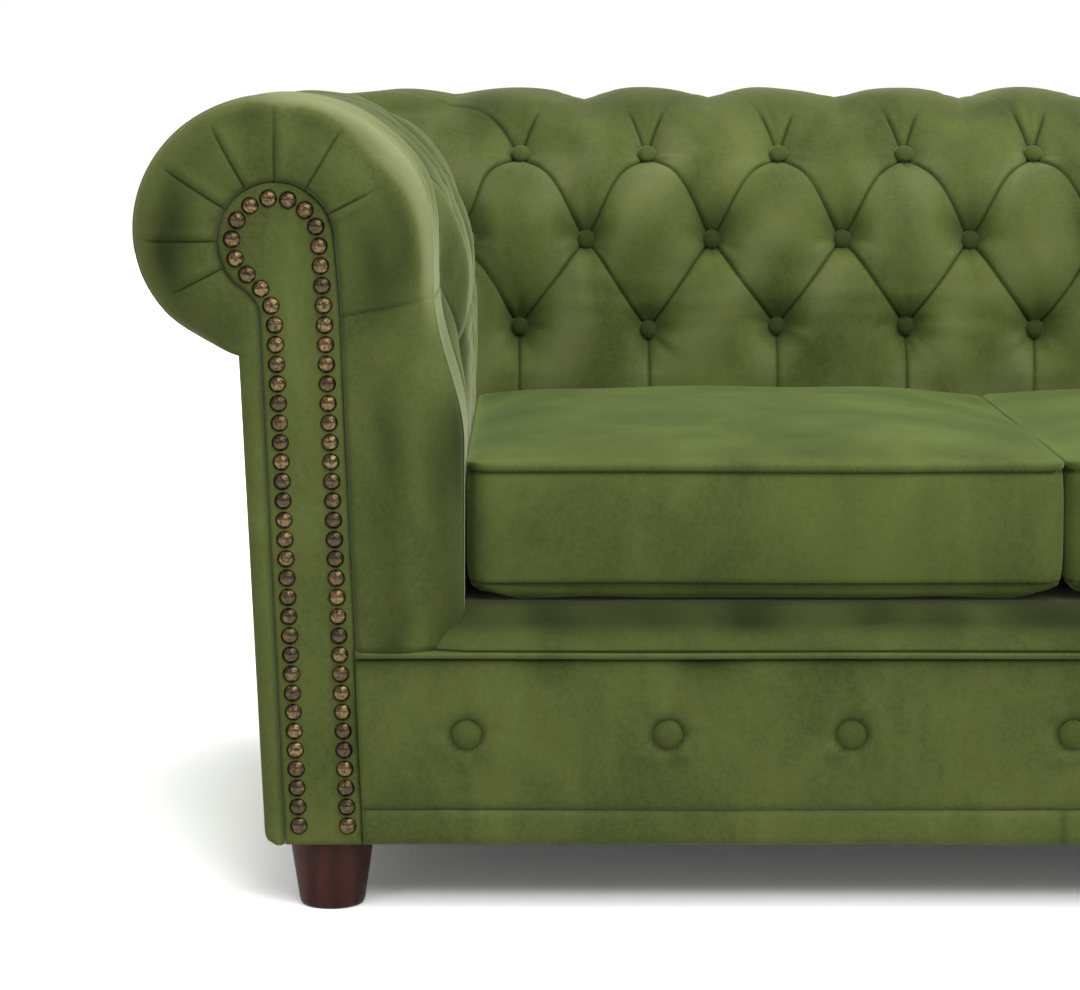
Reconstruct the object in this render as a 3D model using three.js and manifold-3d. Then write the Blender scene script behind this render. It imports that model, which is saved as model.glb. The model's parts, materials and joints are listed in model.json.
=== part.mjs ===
// A three-seat chesterfield sofa: rolled arms, a deep-buttoned back and loose cushions on a sprung base.
// Millimetres. X runs along the sofa, Y to its back and Z up. The origin is on the floor under its middle.
import * as THREE from 'three';
import { mergeVertices } from 'three/addons/utils/BufferGeometryUtils.js';
import Module from 'manifold-3d';

// The sofa as a whole
const SOFA_DEPTH = 900;
const SEATS = 3;
const LEG_HEIGHT = 65;
const CONTACT = 0.3;
const OVERRUN = 10;

// Seat cushions
const CUSHION_PITCH = 531;
const CUSHION_GAP = 2.5;
const CUSHION_FRONT_SETBACK = 38;
const CUSHION_SEAM_Z = 124.5;
const CUSHION_CROWN = 21.5;
const CUSHION_CORNER_RADIUS = 48;
const CUSHION_CORNER_STEPS = 3;
const CUSHION_SIDE_STEPS = 4;
const CUSHION_CREST_SET_IN = 192;
const CUSHION_FOOT_ROUND = 12;
const CUSHION_PULL_IN = 2;
const CUSHION_SIDE_SWELL = 1.5;

// Base
const FRONT_BAND_HEIGHT = 31;
const FRONT_BORDER_HEIGHT = 135.4;
const FRONT_BORDER_CROWN = 6;
const FRONT_BORDER_ROUND = 12;
const FRAME_TOP_Z = 232.3;
const RAIL_THICKNESS = 30;
const CROSS_RAIL_THICKNESS = 25;
const SEAT_REAR_RAIL_THICKNESS = 40;
const SEAT_REAR_RAIL_REACH = 18;
const SIDE_RAIL_SET_OUT = 2.5;
const REAR_RAIL_GAP = 10.35;
const DECK_RISE = 43.6;
const DECK_THICKNESS = 22;
const LIP_DEPTH = 50;
const WELT_HEIGHT = 6;
const DUST_COVER_THICKNESS = 1.5;
const SPRINGS_PER_SEAT = 2;
const SPRING_WIRE_RADIUS = 1.6;
const SPRING_ARCH = 13;
const SPRING_WAVE = 52;
const SPRING_WIDTH = 46;

// Rolled arms and back, which share one section: across it runs outwards from the seat, and Z up
const ROLL_HALF_WIDTH = 125;
const ROLL_HALF_HEIGHT = 113.5;
const ROLL_CENTRE_Z = 605.5;
const ROLL_SETBACK = 157.2;
const PAD_GAP = 1.3;
const PAD_THICKNESS = 40;
const PAD_FOOT_TUCK = 8;
const SHOULDER_START_Z = 539;
const SHOULDER_PULL = 60;
const SHOULDER_END_ANGLE = THREE.MathUtils.degToRad(130);
const ROLL_END_ANGLE = THREE.MathUtils.degToRad(-75);
const CORNER_ROUND_SHARE = 0.75;
const INNER_BOARD_THICKNESS = 12;
const TOP_BOARD_THICKNESS = 25;
const TOP_BOARD_Z = 555;
const COVER_THICKNESS = 14;
const COVER_LEAN = 18;
const POST_WIDTH = 50;

// Deep buttoning
const TUFT_PITCH = 136.8;
const LOWER_ROW_RUN = 236.6;
const MIDDLE_ROW_STEP = 96;
const UPPER_ROW_STEP = 115;
const CREST_ROW_STEP = 139;
const BUTTON_DEPTH = 27;
const BUTTON_RADIUS = 10;
const BUTTON_THICKNESS = 8;
const BUTTON_SIDES = 6;
const STAGGER_SHARE = 0.5;
const PILLOW_POWER = 0.4;
const PLEAT_RISE_SHARE = 0.5;
const ARM_TUFTS = 3;
const WAIST_DEPTH = 26;
const WAIST_START_RUN = 185;
const WAIST_RUN = 270;
const WAIST_FADE_PITCHES = 0.5;
const OUTER_SKIN_STEPS = 3;
const COLUMNS_PER_PITCH = 4;
const CORNER_COLUMN_SHARES = [1 / 3, 2 / 3, 1];

// Front of the arms: padded scroll face, facing panel and its nails
const ARM_FACE_THICKNESS = 25.7;
const ARM_FACE_ROUND = 14;
const ARM_FACE_ROUND_STEPS = 3;
const ARM_OUTLINE_STEPS = 26;
const FRONT_BOARD_THICKNESS = 15;
const FRONT_BOARD_SETBACK = 1.5;
const FACING_HEAD_RADIUS = 50.5;
const FACING_HEAD_DROP = 8;
const FACING_HEAD_OUTSET = 4;
const FACING_WIDTH = 69;
const FACING_FOOT_OUTSET = -1;
const FACING_LEAN = 17;
const FACING_NECK_Z = 534;
const FACING_THICKNESS = 6;
const FACING_GAP = 0.8;
const FACING_SHOULDER_ANGLE = THREE.MathUtils.degToRad(-45);
const FACING_CURVE_POINTS = 9;
const NAIL_INSET = 13;
const NAIL_PITCH = 17;
const NAIL_RADIUS = 7.8;
const NAIL_HEIGHT = 5;
const NAIL_SIDES = 6;
const NAIL_TAPE_WIDTH = 5;
const NAIL_TAPE_THICKNESS = 0.8;
const NAIL_FOOT_RISE = 10;

// Covered buttons along the front border, as shares of the border's half length from its middle
const BORDER_BUTTON_SHARES = [0.101, 0.295, 0.515, 0.697, 0.897];
const BORDER_BUTTON_RADIUS = 13;
const BORDER_BUTTON_THICKNESS = 6;
const BORDER_BUTTON_DIP = 4;
const BORDER_BUTTON_SIDES = 12;
const DIP_FLAT_SHARE = 1.15;
const DIP_REACH_SHARE = 3;

// Legs
const LEG_TOP_RADIUS = 38.2;
const LEG_FOOT_RADIUS = 29;
const LEG_EDGE_ROUND = 3;
const LEG_SET_IN = 69.35;
const LEG_SIDES = 20;
const BOLT_RADIUS = 4;
const BOLT_SIDES = 8;
const BOLT_CLEARANCE = 0.5;
const BOLT_REACH = 34;
const BOLT_PLATE_RADIUS = 14;
const BOLT_PLATE_THICKNESS = 1.5;

// Places worked out from the sizes above
// Across counts outwards from the sofa's middle, and the back's section is an arm's moved back by a shift
const FRONT_Y = -SOFA_DEPTH / 2;
const REAR_Y = SOFA_DEPTH / 2;
const SEAT_HALF_WIDTH = (SEATS * CUSHION_PITCH) / 2;
const PAD_FACE = SEAT_HALF_WIDTH + PAD_GAP;
const ROLL_CENTRE = PAD_FACE + ROLL_SETBACK;
const BACK_SHIFT = ROLL_CENTRE - (REAR_Y - ROLL_HALF_WIDTH);
const BACK_FACE_Y = PAD_FACE - BACK_SHIFT;
const BOARD_FACE = PAD_FACE + PAD_THICKNESS;
const BASE_Z = LEG_HEIGHT + CONTACT;
const PAD_FOOT_Z = FRAME_TOP_Z + CONTACT;
const DECK_TOP_Z = FRAME_TOP_Z + DECK_RISE;
const FACING_FRONT_Y = FRONT_Y + NAIL_HEIGHT + NAIL_TAPE_THICKNESS;
const FRONT_BOARD_Y = FRONT_Y + ARM_FACE_THICKNESS + CONTACT;
const FRONT_RAIL_Y = FRONT_BOARD_Y + FRONT_BOARD_THICKNESS + CONTACT;
const SEAT_REAR_RAIL_Y = BACK_FACE_Y - SEAT_REAR_RAIL_REACH;
const RAIL_BOTTOM_Z = BASE_Z + BOLT_PLATE_THICKNESS + CONTACT;
const ROLL_END = ROLL_CENTRE + ROLL_HALF_WIDTH * Math.cos(ROLL_END_ANGLE);
const ROLL_END_Z = ROLL_CENTRE_Z + ROLL_HALF_HEIGHT * Math.sin(ROLL_END_ANGLE);
const LEG_OUTSET = ROLL_END - LEG_SET_IN;
const COVER_FOOT_Y = ROLL_END - COVER_LEAN - COVER_THICKNESS - BACK_SHIFT;
const REAR_RAIL_Y = COVER_FOOT_Y - REAR_RAIL_GAP - RAIL_THICKNESS;
const FACING_OUTER_FOOT = ROLL_END - COVER_LEAN - COVER_THICKNESS - FACING_FOOT_OUTSET;
const FACING_OUTER_NECK = FACING_OUTER_FOOT + FACING_LEAN;
const FACING_INNER_FOOT = FACING_OUTER_FOOT - FACING_WIDTH;
const FACING_INNER_NECK = FACING_OUTER_NECK - FACING_WIDTH;
const BORDER_HALF = FACING_INNER_FOOT - CONTACT;
const BORDER_FRONT_Y = FRONT_Y + CONTACT;
const BORDER_BOTTOM_Z = BASE_Z + FRONT_BAND_HEIGHT + CONTACT;
const BORDER_TOP_Z = BORDER_BOTTOM_Z + FRONT_BORDER_HEIGHT;
const BORDER_BUTTON_Z = (BORDER_BOTTOM_Z + BORDER_TOP_Z) / 2;
const BORDER_DIP = BORDER_BUTTON_DIP + BORDER_BUTTON_THICKNESS - FRONT_BORDER_CROWN / 2;

const wasm = await Module();
wasm.setup();
const sofa = new THREE.Group();
const leftSide = new THREE.Group();
leftSide.scale.x = -1;
sofa.add(leftSide);

const velvet = { color: 0x5f7035, roughness: 0.85, metalness: 0 };
const beech = { color: 0xb98f5e, roughness: 0.7, metalness: 0 };
const plywood = { color: 0xc4a27a, roughness: 0.75, metalness: 0 };
const darkWood = { color: 0x3a2724, roughness: 0.4, metalness: 0 };
const brass = { color: 0x7a6340, roughness: 0.4, metalness: 0.9 };
const steel = { color: 0x8a8c8e, roughness: 0.4, metalness: 0.9 };
const lining = { color: 0x2a2a2a, roughness: 0.9, metalness: 0 };

// Names a geometry, gives it its finish and adds it to the sofa or to its mirrored left side
function add(name, geometry, finish, group = sofa) {
  const mesh = new THREE.Mesh(geometry, new THREE.MeshStandardMaterial(finish));
  mesh.name = name;
  group.add(mesh);
}

// Adds a piece of the right-hand side and its mirror image
function addPair(name, geometry, finish) {
  add(`right_${name}`, geometry, finish);
  add(`left_${name}`, geometry.clone(), finish, leftSide);
}

// Turns a closed geometry's faces outwards
function facingOut(geometry) {
  const bare = geometry.index ? geometry.toNonIndexed() : geometry;
  const position = bare.attributes.position;
  const [a, b, c] = [new THREE.Vector3(), new THREE.Vector3(), new THREE.Vector3()];
  let volume = 0;
  for (let i = 0; i < position.count; i += 3) {
    a.fromBufferAttribute(position, i);
    b.fromBufferAttribute(position, i + 1);
    c.fromBufferAttribute(position, i + 2);
    volume += a.dot(b.cross(c));
  }
  if (volume >= 0) return bare;
  for (let i = 0; i < position.count; i += 3) {
    b.fromBufferAttribute(position, i + 1);
    c.fromBufferAttribute(position, i + 2);
    position.setXYZ(i + 1, c.x, c.y, c.z);
    position.setXYZ(i + 2, b.x, b.y, b.z);
  }
  return bare;
}

// The same shape with only its places, and the vertices that meet made one
function welded(geometry) {
  const bare = new THREE.BufferGeometry();
  bare.setAttribute('position', geometry.attributes.position);
  bare.setIndex(geometry.index);
  return mergeVertices(bare);
}

// A closed geometry as a solid that can be joined and cut
function solidOf(geometry) {
  const merged = welded(facingOut(geometry));
  const vertProperties = new Float32Array(merged.attributes.position.array);
  const triVerts = new Uint32Array(merged.index.array);
  return new wasm.Manifold(new wasm.Mesh({ numProp: 3, vertProperties, triVerts }));
}

function geometryOf(solid) {
  const mesh = solid.getMesh();
  const geometry = new THREE.BufferGeometry();
  geometry.setAttribute('position', new THREE.BufferAttribute(mesh.vertProperties, 3));
  geometry.setIndex(new THREE.BufferAttribute(mesh.triVerts, 1));
  return geometry;
}

function cut(geometry, tools) {
  return geometryOf(tools.reduce((solid, tool) => solid.subtract(solidOf(tool)), solidOf(geometry)));
}

function join(geometries) {
  return geometryOf(geometries.map(solidOf).reduce((solid, next) => solid.add(next)));
}

// A block between two corners
function block(low, high) {
  const size = high.clone().sub(low);
  const geometry = new THREE.BoxGeometry(size.x, size.y, size.z);
  return geometry.translate(low.x + size.x / 2, low.y + size.y / 2, low.z + size.z / 2);
}

function blockAt(x0, x1, y0, y1, z0, z1) {
  return block(new THREE.Vector3(x0, y0, z0), new THREE.Vector3(x1, y1, z1));
}

// A body through rings of points, each ring closed and all with as many points, with its two ends closed
function loft(rings, endOutline) {
  const points = [];
  const count = rings[0].length;
  const quad = (a, b, c, d) => points.push(a, b, c, a, c, d);
  for (let k = 0; k + 1 < rings.length; k++) {
    for (let i = 0; i < count; i++) {
      const next = (i + 1) % count;
      quad(rings[k][i], rings[k + 1][i], rings[k + 1][next], rings[k][next]);
    }
  }
  for (const [ring, atEnd] of [[rings[0], false], [rings.at(-1), true]]) {
    const flat = ring.map(endOutline);
    const faces = THREE.ShapeUtils.triangulateShape(flat, []);
    const faceArea = THREE.ShapeUtils.area(faces[0].map((i) => flat[i]));
    const turned = (faceArea > 0) !== (THREE.ShapeUtils.area(flat) > 0);
    for (const [a, b, c] of faces) {
      const swapped = turned !== atEnd;
      points.push(ring[a], ring[swapped ? c : b], ring[swapped ? b : c]);
    }
  }
  return facingOut(new THREE.BufferGeometry().setFromPoints(points));
}

const acrossX = (p) => new THREE.Vector2(p.y, p.z);
const acrossY = (p) => new THREE.Vector2(p.x, p.z);
const acrossZ = (p) => new THREE.Vector2(p.x, p.y);

// A prism along X with its outline in Y and Z
function alongX(outline, x0, x1) {
  const ring = (x) => outline.map(([y, z]) => new THREE.Vector3(x, y, z));
  return loft([ring(x0), ring(x1)], acrossX);
}

// A flat panel whose shape stands in X and Z, from its front face at y0 back to y1
function standing(shape, y0, y1, curveSegments, bevel = {}) {
  const settings = { depth: y1 - y0, curveSegments, bevelEnabled: false, ...bevel };
  const geometry = new THREE.ExtrudeGeometry(shape, settings);
  return geometry.rotateX(Math.PI / 2).translate(0, y1, 0);
}

// A turned shape about a vertical axis at x and y
function turned(profile, x, y, sides) {
  const points = profile.map(([radius, z]) => new THREE.Vector2(radius, z));
  const geometry = welded(new THREE.LatheGeometry(points, sides));
  return geometry.rotateX(Math.PI / 2).translate(x, y, 0);
}

// The roll's skin from an angle, over its top, to where it meets the outer side
function rollArc(fromAngle) {
  return new THREE.EllipseCurve(
    ROLL_CENTRE, ROLL_CENTRE_Z, ROLL_HALF_WIDTH, ROLL_HALF_HEIGHT, fromAngle, ROLL_END_ANGLE, true,
  );
}

// The skin of the section, up the seat side, over the shoulder and the roll, to the outer side under it
function sectionSkin() {
  const foot = new THREE.Vector2(PAD_FACE + PAD_FOOT_TUCK, PAD_FOOT_Z);
  const belly = new THREE.Vector2(PAD_FACE, (PAD_FOOT_Z + SHOULDER_START_Z) / 2);
  const start = new THREE.Vector2(PAD_FACE, SHOULDER_START_Z);
  const roll = rollArc(SHOULDER_END_ANGLE);
  const end = roll.getPoint(0);
  const pull = roll.getTangent(0).multiplyScalar(-SHOULDER_PULL);
  const skin = new THREE.CurvePath();
  skin.add(new THREE.QuadraticBezierCurve(foot, belly, start));
  const up = new THREE.Vector2(0, SHOULDER_PULL);
  skin.add(new THREE.CubicBezierCurve(start, start.clone().add(up), end.clone().add(pull), end));
  skin.add(roll);
  return skin;
}

const skin = sectionSkin();
const skinRun = skin.getLength();
const outermostRun = skinRun - rollArc(0).getLength();
const lowerRow = LOWER_ROW_RUN;
const middleRow = lowerRow + MIDDLE_ROW_STEP;
const upperRow = middleRow + UPPER_ROW_STEP;
const crestRow = upperRow + CREST_ROW_STEP;

// Where along the skin the rows of buttons lie: 3, 2 and 1 hold buttons, and 0 is the crest of the roll
function rowAt(run) {
  if (run < lowerRow) return 3 + (lowerRow - run) / MIDDLE_ROW_STEP;
  if (run < middleRow) return 2 + (middleRow - run) / MIDDLE_ROW_STEP;
  if (run < upperRow) return 1 + (upperRow - run) / UPPER_ROW_STEP;
  return (crestRow - run) / CREST_ROW_STEP;
}

// How deep the buttoning draws the skin in, with pitches counted from a column of the middle row
function tuftDepth(pitches, run) {
  const row = THREE.MathUtils.clamp(rowAt(run), 0, 3);
  const past = Math.abs(rowAt(run) - row);
  const rising = Math.abs(Math.sin(Math.PI * (pitches + row / 2)));
  const falling = Math.abs(Math.sin(Math.PI * (pitches - row / 2)));
  const pillow = (rising * falling) ** PILLOW_POWER;
  const pleat = Math.max(rising, falling, Math.min(2 * past, 1));
  const outer = THREE.MathUtils.clamp((run - crestRow) / (skinRun - crestRow), 0, 1);
  return (1 - outer) * BUTTON_DEPTH * (1 - pillow) * (1 - PLEAT_RISE_SHARE * pleat);
}

// A point of the section's skin, drawn in by a depth along its normal
function skinPoint(run, depth) {
  const share = Math.min(run / skinRun, 1);
  const point = skin.getPoint(share);
  const tangent = skin.getTangent(share);
  const inwards = new THREE.Vector2(tangent.y, -tangent.x);
  return { point: point.clone().addScaledVector(inwards, depth), inwards };
}

// The plain front of an arm is padded thinly, so that between the seat and the roll it stands back from the
// skin that its buttoned part reaches
function waistDepth(run) {
  const share = THREE.MathUtils.clamp((run - WAIST_START_RUN) / WAIST_RUN, 0, 1);
  return WAIST_DEPTH * Math.sin(Math.PI * share) ** 2;
}

// The runs at which the pads have points
function skinRuns() {
  const runs = [0, lowerRow / 2, lowerRow];
  for (const [from, to] of [[lowerRow, middleRow], [middleRow, upperRow], [upperRow, crestRow]]) {
    runs.push((from + to) / 2, to);
  }
  for (const [from, to] of [[crestRow, outermostRun], [outermostRun, skinRun]]) {
    for (let i = 1; i <= OUTER_SKIN_STEPS; i++) runs.push(from + ((to - from) * i) / OUTER_SKIN_STEPS);
  }
  return runs;
}

// The section of a pad at one place along it, closed round the boards that it wraps
function padSection(pitches, tufted, waistShare = 0) {
  const depthAt = (run) => (tufted ? tuftDepth(pitches, run) : 0) + waistShare * waistDepth(run);
  const outline = skinRuns().map((run) => skinPoint(run, depthAt(run)).point);
  const boardEnd = ROLL_END + CONTACT;
  const topBoardTop = TOP_BOARD_Z + TOP_BOARD_THICKNESS + CONTACT;
  outline.push(new THREE.Vector2(boardEnd, topBoardTop));
  outline.push(new THREE.Vector2(BOARD_FACE - CONTACT, topBoardTop));
  outline.push(new THREE.Vector2(BOARD_FACE - CONTACT, PAD_FOOT_Z));
  return outline;
}

// How far out the mitre lets a point of the section go, so that the sofa's rear corners are rounded
function atMitre(across) {
  return across > ROLL_END ? ROLL_END + (across - ROLL_END) * CORNER_ROUND_SHARE : across;
}

// The last sections of a pad on its way into the mitred corner, from the last full column
function cornerSections(lastPitches, cornerPitches, place) {
  const corner = padSection(cornerPitches, true);
  return CORNER_COLUMN_SHARES.map((share) => {
    const column = padSection(THREE.MathUtils.lerp(lastPitches, cornerPitches, share), true);
    return column.map((point, i) => {
      const mitred = atMitre(corner[i].x);
      const across = share === 1 ? mitred : point.x;
      return place(across, mitred - CONTACT, share, share === 1 ? corner[i].y : point.y);
    });
  });
}

// A small covered button in its pit, on a solid of the same pad
function tuftButton(place, normal) {
  const button = welded(
    new THREE.CylinderGeometry(BUTTON_RADIUS, BUTTON_RADIUS, BUTTON_THICKNESS, BUTTON_SIDES));
  const turn = new THREE.Quaternion().setFromUnitVectors(new THREE.Vector3(0, 1, 0), normal);
  return button.applyQuaternion(turn).translate(place.x, place.y, place.z);
}

// The buttons of a pad between two numbers of pitches. The pad starts at a place, with one axis for its
// section and one for its length.
function padButtons(fromPitches, toPitches, start, acrossAxis, alongAxis) {
  const buttons = [];
  const onPad = ({ x, y }) => acrossAxis.clone().multiplyScalar(x).add(new THREE.Vector3(0, 0, y));
  for (const [run, shift] of [[lowerRow, STAGGER_SHARE], [middleRow, 0], [upperRow, STAGGER_SHARE]]) {
    const { point, inwards } = skinPoint(run, BUTTON_DEPTH);
    for (let pitches = Math.ceil(fromPitches - shift) + shift; pitches <= toPitches; pitches++) {
      const place = onPad(point).add(start).addScaledVector(alongAxis, pitches * TUFT_PITCH);
      buttons.push(tuftButton(place, onPad(inwards).negate()));
    }
  }
  return buttons;
}

// The arm pad runs along Y from the arm's front to the mitre at the back corner
function armPad() {
  const startY = FRONT_RAIL_Y;
  const smoothEndY = BACK_FACE_Y - ARM_TUFTS * TUFT_PITCH;
  const sections = [startY, (startY + smoothEndY) / 2, smoothEndY].map((y) =>
    padSection(0, false, 1).map((p) => new THREE.Vector3(p.x, y, p.y)));
  const columnShare = 1 / COLUMNS_PER_PITCH;
  for (let k = ARM_TUFTS * COLUMNS_PER_PITCH - 1; k >= 1; k--) {
    const pitches = k * columnShare;
    const y = BACK_FACE_Y - pitches * TUFT_PITCH;
    const waistShare = Math.max(0, 1 - (ARM_TUFTS - pitches) / WAIST_FADE_PITCHES);
    sections.push(padSection(pitches, true, waistShare).map((p) => new THREE.Vector3(p.x, y, p.y)));
  }
  const lastY = BACK_FACE_Y - columnShare * TUFT_PITCH;
  sections.push(...cornerSections(columnShare, 0, (across, mitre, share, z) =>
    new THREE.Vector3(across, THREE.MathUtils.lerp(lastY, mitre - BACK_SHIFT, share), z)));
  const buttons = padButtons(
    columnShare, ARM_TUFTS - columnShare, new THREE.Vector3(0, BACK_FACE_Y, 0),
    new THREE.Vector3(1, 0, 0), new THREE.Vector3(0, -1, 0));
  return join([loft(sections, acrossY), ...buttons]);
}

// The back pad runs along X from mitre to mitre
function backPad() {
  const columns = Math.floor((PAD_FACE / TUFT_PITCH) * 2) * (COLUMNS_PER_PITCH / 2);
  const lastPitches = columns / COLUMNS_PER_PITCH;
  const cornerPitches = Math.round(PAD_FACE / TUFT_PITCH);
  const lastX = lastPitches * TUFT_PITCH;
  const place = (side) => (across, mitre, share, z) =>
    new THREE.Vector3(side * THREE.MathUtils.lerp(lastX, mitre, share), across - BACK_SHIFT, z);
  const left = cornerSections(lastPitches, cornerPitches, place(-1)).reverse();
  const right = cornerSections(lastPitches, cornerPitches, place(1));
  const middle = [];
  for (let k = -columns; k <= columns; k++) {
    const pitches = k / COLUMNS_PER_PITCH;
    const x = pitches * TUFT_PITCH;
    middle.push(padSection(pitches, true).map((p) => new THREE.Vector3(x, p.x - BACK_SHIFT, p.y)));
  }
  const buttons = padButtons(
    -lastPitches, lastPitches, new THREE.Vector3(0, -BACK_SHIFT, 0),
    new THREE.Vector3(0, 1, 0), new THREE.Vector3(1, 0, 0));
  return join([loft([...left, ...middle, ...right], acrossX), ...buttons]);
}

// How far out a side cover's outer face is at a height, since it leans in towards the floor
function coverFace(z) {
  return ROLL_END - COVER_LEAN * THREE.MathUtils.clamp((ROLL_END_Z - z) / (ROLL_END_Z - BASE_Z), 0, 1);
}

function coverSection() {
  const top = TOP_BOARD_Z - CONTACT;
  const face = (z) => coverFace(z) - CONTACT;
  const heights = [BASE_Z, ROLL_END_Z - CONTACT, top];
  const outer = heights.map((z) => new THREE.Vector2(face(z), z));
  const inner = heights.reverse().map((z) => new THREE.Vector2(face(z) - COVER_THICKNESS, z));
  return [...outer, ...inner];
}

function outerArmCover() {
  const front = coverSection().map((p) => new THREE.Vector3(p.x, FRONT_RAIL_Y, p.y));
  const rear = coverSection().map((p) => new THREE.Vector3(p.x, p.x - BACK_SHIFT - CONTACT, p.y));
  return loft([front, rear], acrossY);
}

function outsideBackCover() {
  const end = (side) => coverSection().map((p) =>
    new THREE.Vector3(side * (p.x - CONTACT), p.x - BACK_SHIFT, p.y));
  return loft([end(-1), end(1)], acrossX);
}

// The outline of an arm seen from the front, set in from its skin
function armOutline(setIn) {
  const shape = new THREE.Shape();
  const notch = FACING_INNER_FOOT - FACING_FOOT_OUTSET;
  shape.moveTo(notch + setIn, BASE_Z);
  shape.lineTo(notch + setIn, PAD_FOOT_Z);
  for (let i = 0; i <= ARM_OUTLINE_STEPS; i++) {
    const run = (skinRun * i) / ARM_OUTLINE_STEPS;
    const { point } = skinPoint(run, setIn + waistDepth(run));
    shape.lineTo(point.x, Math.max(point.y, PAD_FOOT_Z));
  }
  shape.lineTo(coverFace(ROLL_END_Z) - setIn, ROLL_END_Z - setIn);
  shape.lineTo(coverFace(BASE_Z) - setIn, BASE_Z);
  return shape;
}

// The facing's edge from its outer foot, up round its head and down to its inner foot, set in by a distance
function facingEdge(setIn, footZ) {
  const radius = FACING_HEAD_RADIUS - setIn;
  const neck = new THREE.Vector2(FACING_OUTER_NECK - setIn, FACING_NECK_Z - setIn / 2);
  const head = new THREE.Vector2(ROLL_CENTRE + FACING_HEAD_OUTSET, ROLL_CENTRE_Z - FACING_HEAD_DROP);
  const leave = FACING_SHOULDER_ANGLE;
  const headStart = new THREE.Vector2(Math.cos(leave), Math.sin(leave)).multiplyScalar(radius).add(head);
  const edge = new THREE.Path();
  edge.moveTo(FACING_OUTER_FOOT - setIn, footZ);
  edge.lineTo(neck.x, neck.y);
  edge.quadraticCurveTo(neck.x, (neck.y + headStart.y) / 2, headStart.x, headStart.y);
  edge.absarc(head.x, head.y, radius, leave, Math.PI, false);
  edge.lineTo(FACING_INNER_NECK + setIn, FACING_NECK_Z);
  edge.lineTo(FACING_INNER_FOOT + setIn, footZ);
  return edge;
}

function facing() {
  const shape = new THREE.Shape(facingEdge(0, BASE_Z).getPoints(FACING_CURVE_POINTS));
  return standing(shape, FACING_FRONT_Y, FACING_FRONT_Y + FACING_THICKNESS, 1);
}

// The padded face of an arm: rounded over at its rim and sunk where the facing sits
function armFace() {
  const rear = FRONT_BOARD_Y - CONTACT;
  const bevel = {
    bevelEnabled: true,
    bevelThickness: ARM_FACE_ROUND,
    bevelSize: ARM_FACE_ROUND,
    bevelOffset: -ARM_FACE_ROUND,
    bevelSegments: ARM_FACE_ROUND_STEPS,
  };
  const body = standing(armOutline(0), FRONT_Y + ARM_FACE_ROUND, rear, 1, bevel);
  const extra = SOFA_DEPTH;
  const behind = blockAt(0, ROLL_CENTRE + extra, rear, rear + extra, -extra, extra);
  const recessFloor = FACING_FRONT_Y + FACING_THICKNESS + CONTACT;
  const recessEdge = facingEdge(-FACING_GAP, BASE_Z - OVERRUN).getPoints(FACING_CURVE_POINTS);
  return cut(body, [behind, standing(new THREE.Shape(recessEdge), FRONT_Y - OVERRUN, recessFloor, 1)]);
}

// A row of domed nails on a narrow tape, round the facing
function nailTrim() {
  const line = facingEdge(NAIL_INSET, BASE_Z + NAIL_FOOT_RISE);
  const spans = Math.round(line.getLength() / NAIL_PITCH);
  const centres = line.getSpacedPoints(spans);
  const side = (offset) => centres.map((point, i) => {
    const along = centres[Math.min(i + 1, spans)].clone().sub(centres[Math.max(i - 1, 0)]).normalize();
    return new THREE.Vector2(point.x - along.y * offset, point.y + along.x * offset);
  });
  const half = NAIL_TAPE_WIDTH / 2;
  const tape = new THREE.Shape([...side(half), ...side(-half).reverse()]);
  const tapeRear = FACING_FRONT_Y - CONTACT / 2;
  const tapeFront = tapeRear - NAIL_TAPE_THICKNESS;
  const profile = [[0, 0], [NAIL_RADIUS, 0], [0, NAIL_HEIGHT]];
  const nails = centres.map((centre) =>
    turned(profile, 0, 0, NAIL_SIDES).rotateX(Math.PI / 2).translate(centre.x, tapeRear, centre.y));
  return join([standing(tape, tapeFront, tapeRear, 1), ...nails]);
}

// The plywood board behind the padded face, which the arm hangs on
function armFrontBoard() {
  return standing(armOutline(FRONT_BOARD_SETBACK), FRONT_BOARD_Y, FRONT_BOARD_Y + FRONT_BOARD_THICKNESS, 1);
}

function armBoards() {
  const rearY = BOARD_FACE - BACK_SHIFT - CONTACT;
  const inner = BOARD_FACE + INNER_BOARD_THICKNESS;
  const top = TOP_BOARD_Z + TOP_BOARD_THICKNESS;
  const innerBoard = blockAt(
    BOARD_FACE, inner, FRONT_RAIL_Y, rearY, PAD_FOOT_Z, TOP_BOARD_Z - CONTACT);
  addPair('arm_inner_board', innerBoard, plywood);
  addPair('arm_top_board', blockAt(BOARD_FACE, ROLL_END, FRONT_RAIL_Y, rearY, TOP_BOARD_Z, top), beech);
}

function backBoards() {
  const faceY = BOARD_FACE - BACK_SHIFT;
  const inner = BOARD_FACE + INNER_BOARD_THICKNESS;
  const under = TOP_BOARD_Z - CONTACT;
  const top = TOP_BOARD_Z + TOP_BOARD_THICKNESS;
  const innerBoard = blockAt(-inner, inner, faceY, faceY + INNER_BOARD_THICKNESS, PAD_FOOT_Z, under);
  add('back_inner_board', innerBoard, plywood);
  add('back_top_board', blockAt(-ROLL_END, ROLL_END, faceY, ROLL_END - BACK_SHIFT, TOP_BOARD_Z, top), beech);
  const post = blockAt(
    LEG_OUTSET - POST_WIDTH / 2, LEG_OUTSET + POST_WIDTH / 2,
    REAR_RAIL_Y, REAR_RAIL_Y + RAIL_THICKNESS, PAD_FOOT_Z, under);
  addPair('back_post', post, beech);
}

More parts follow.
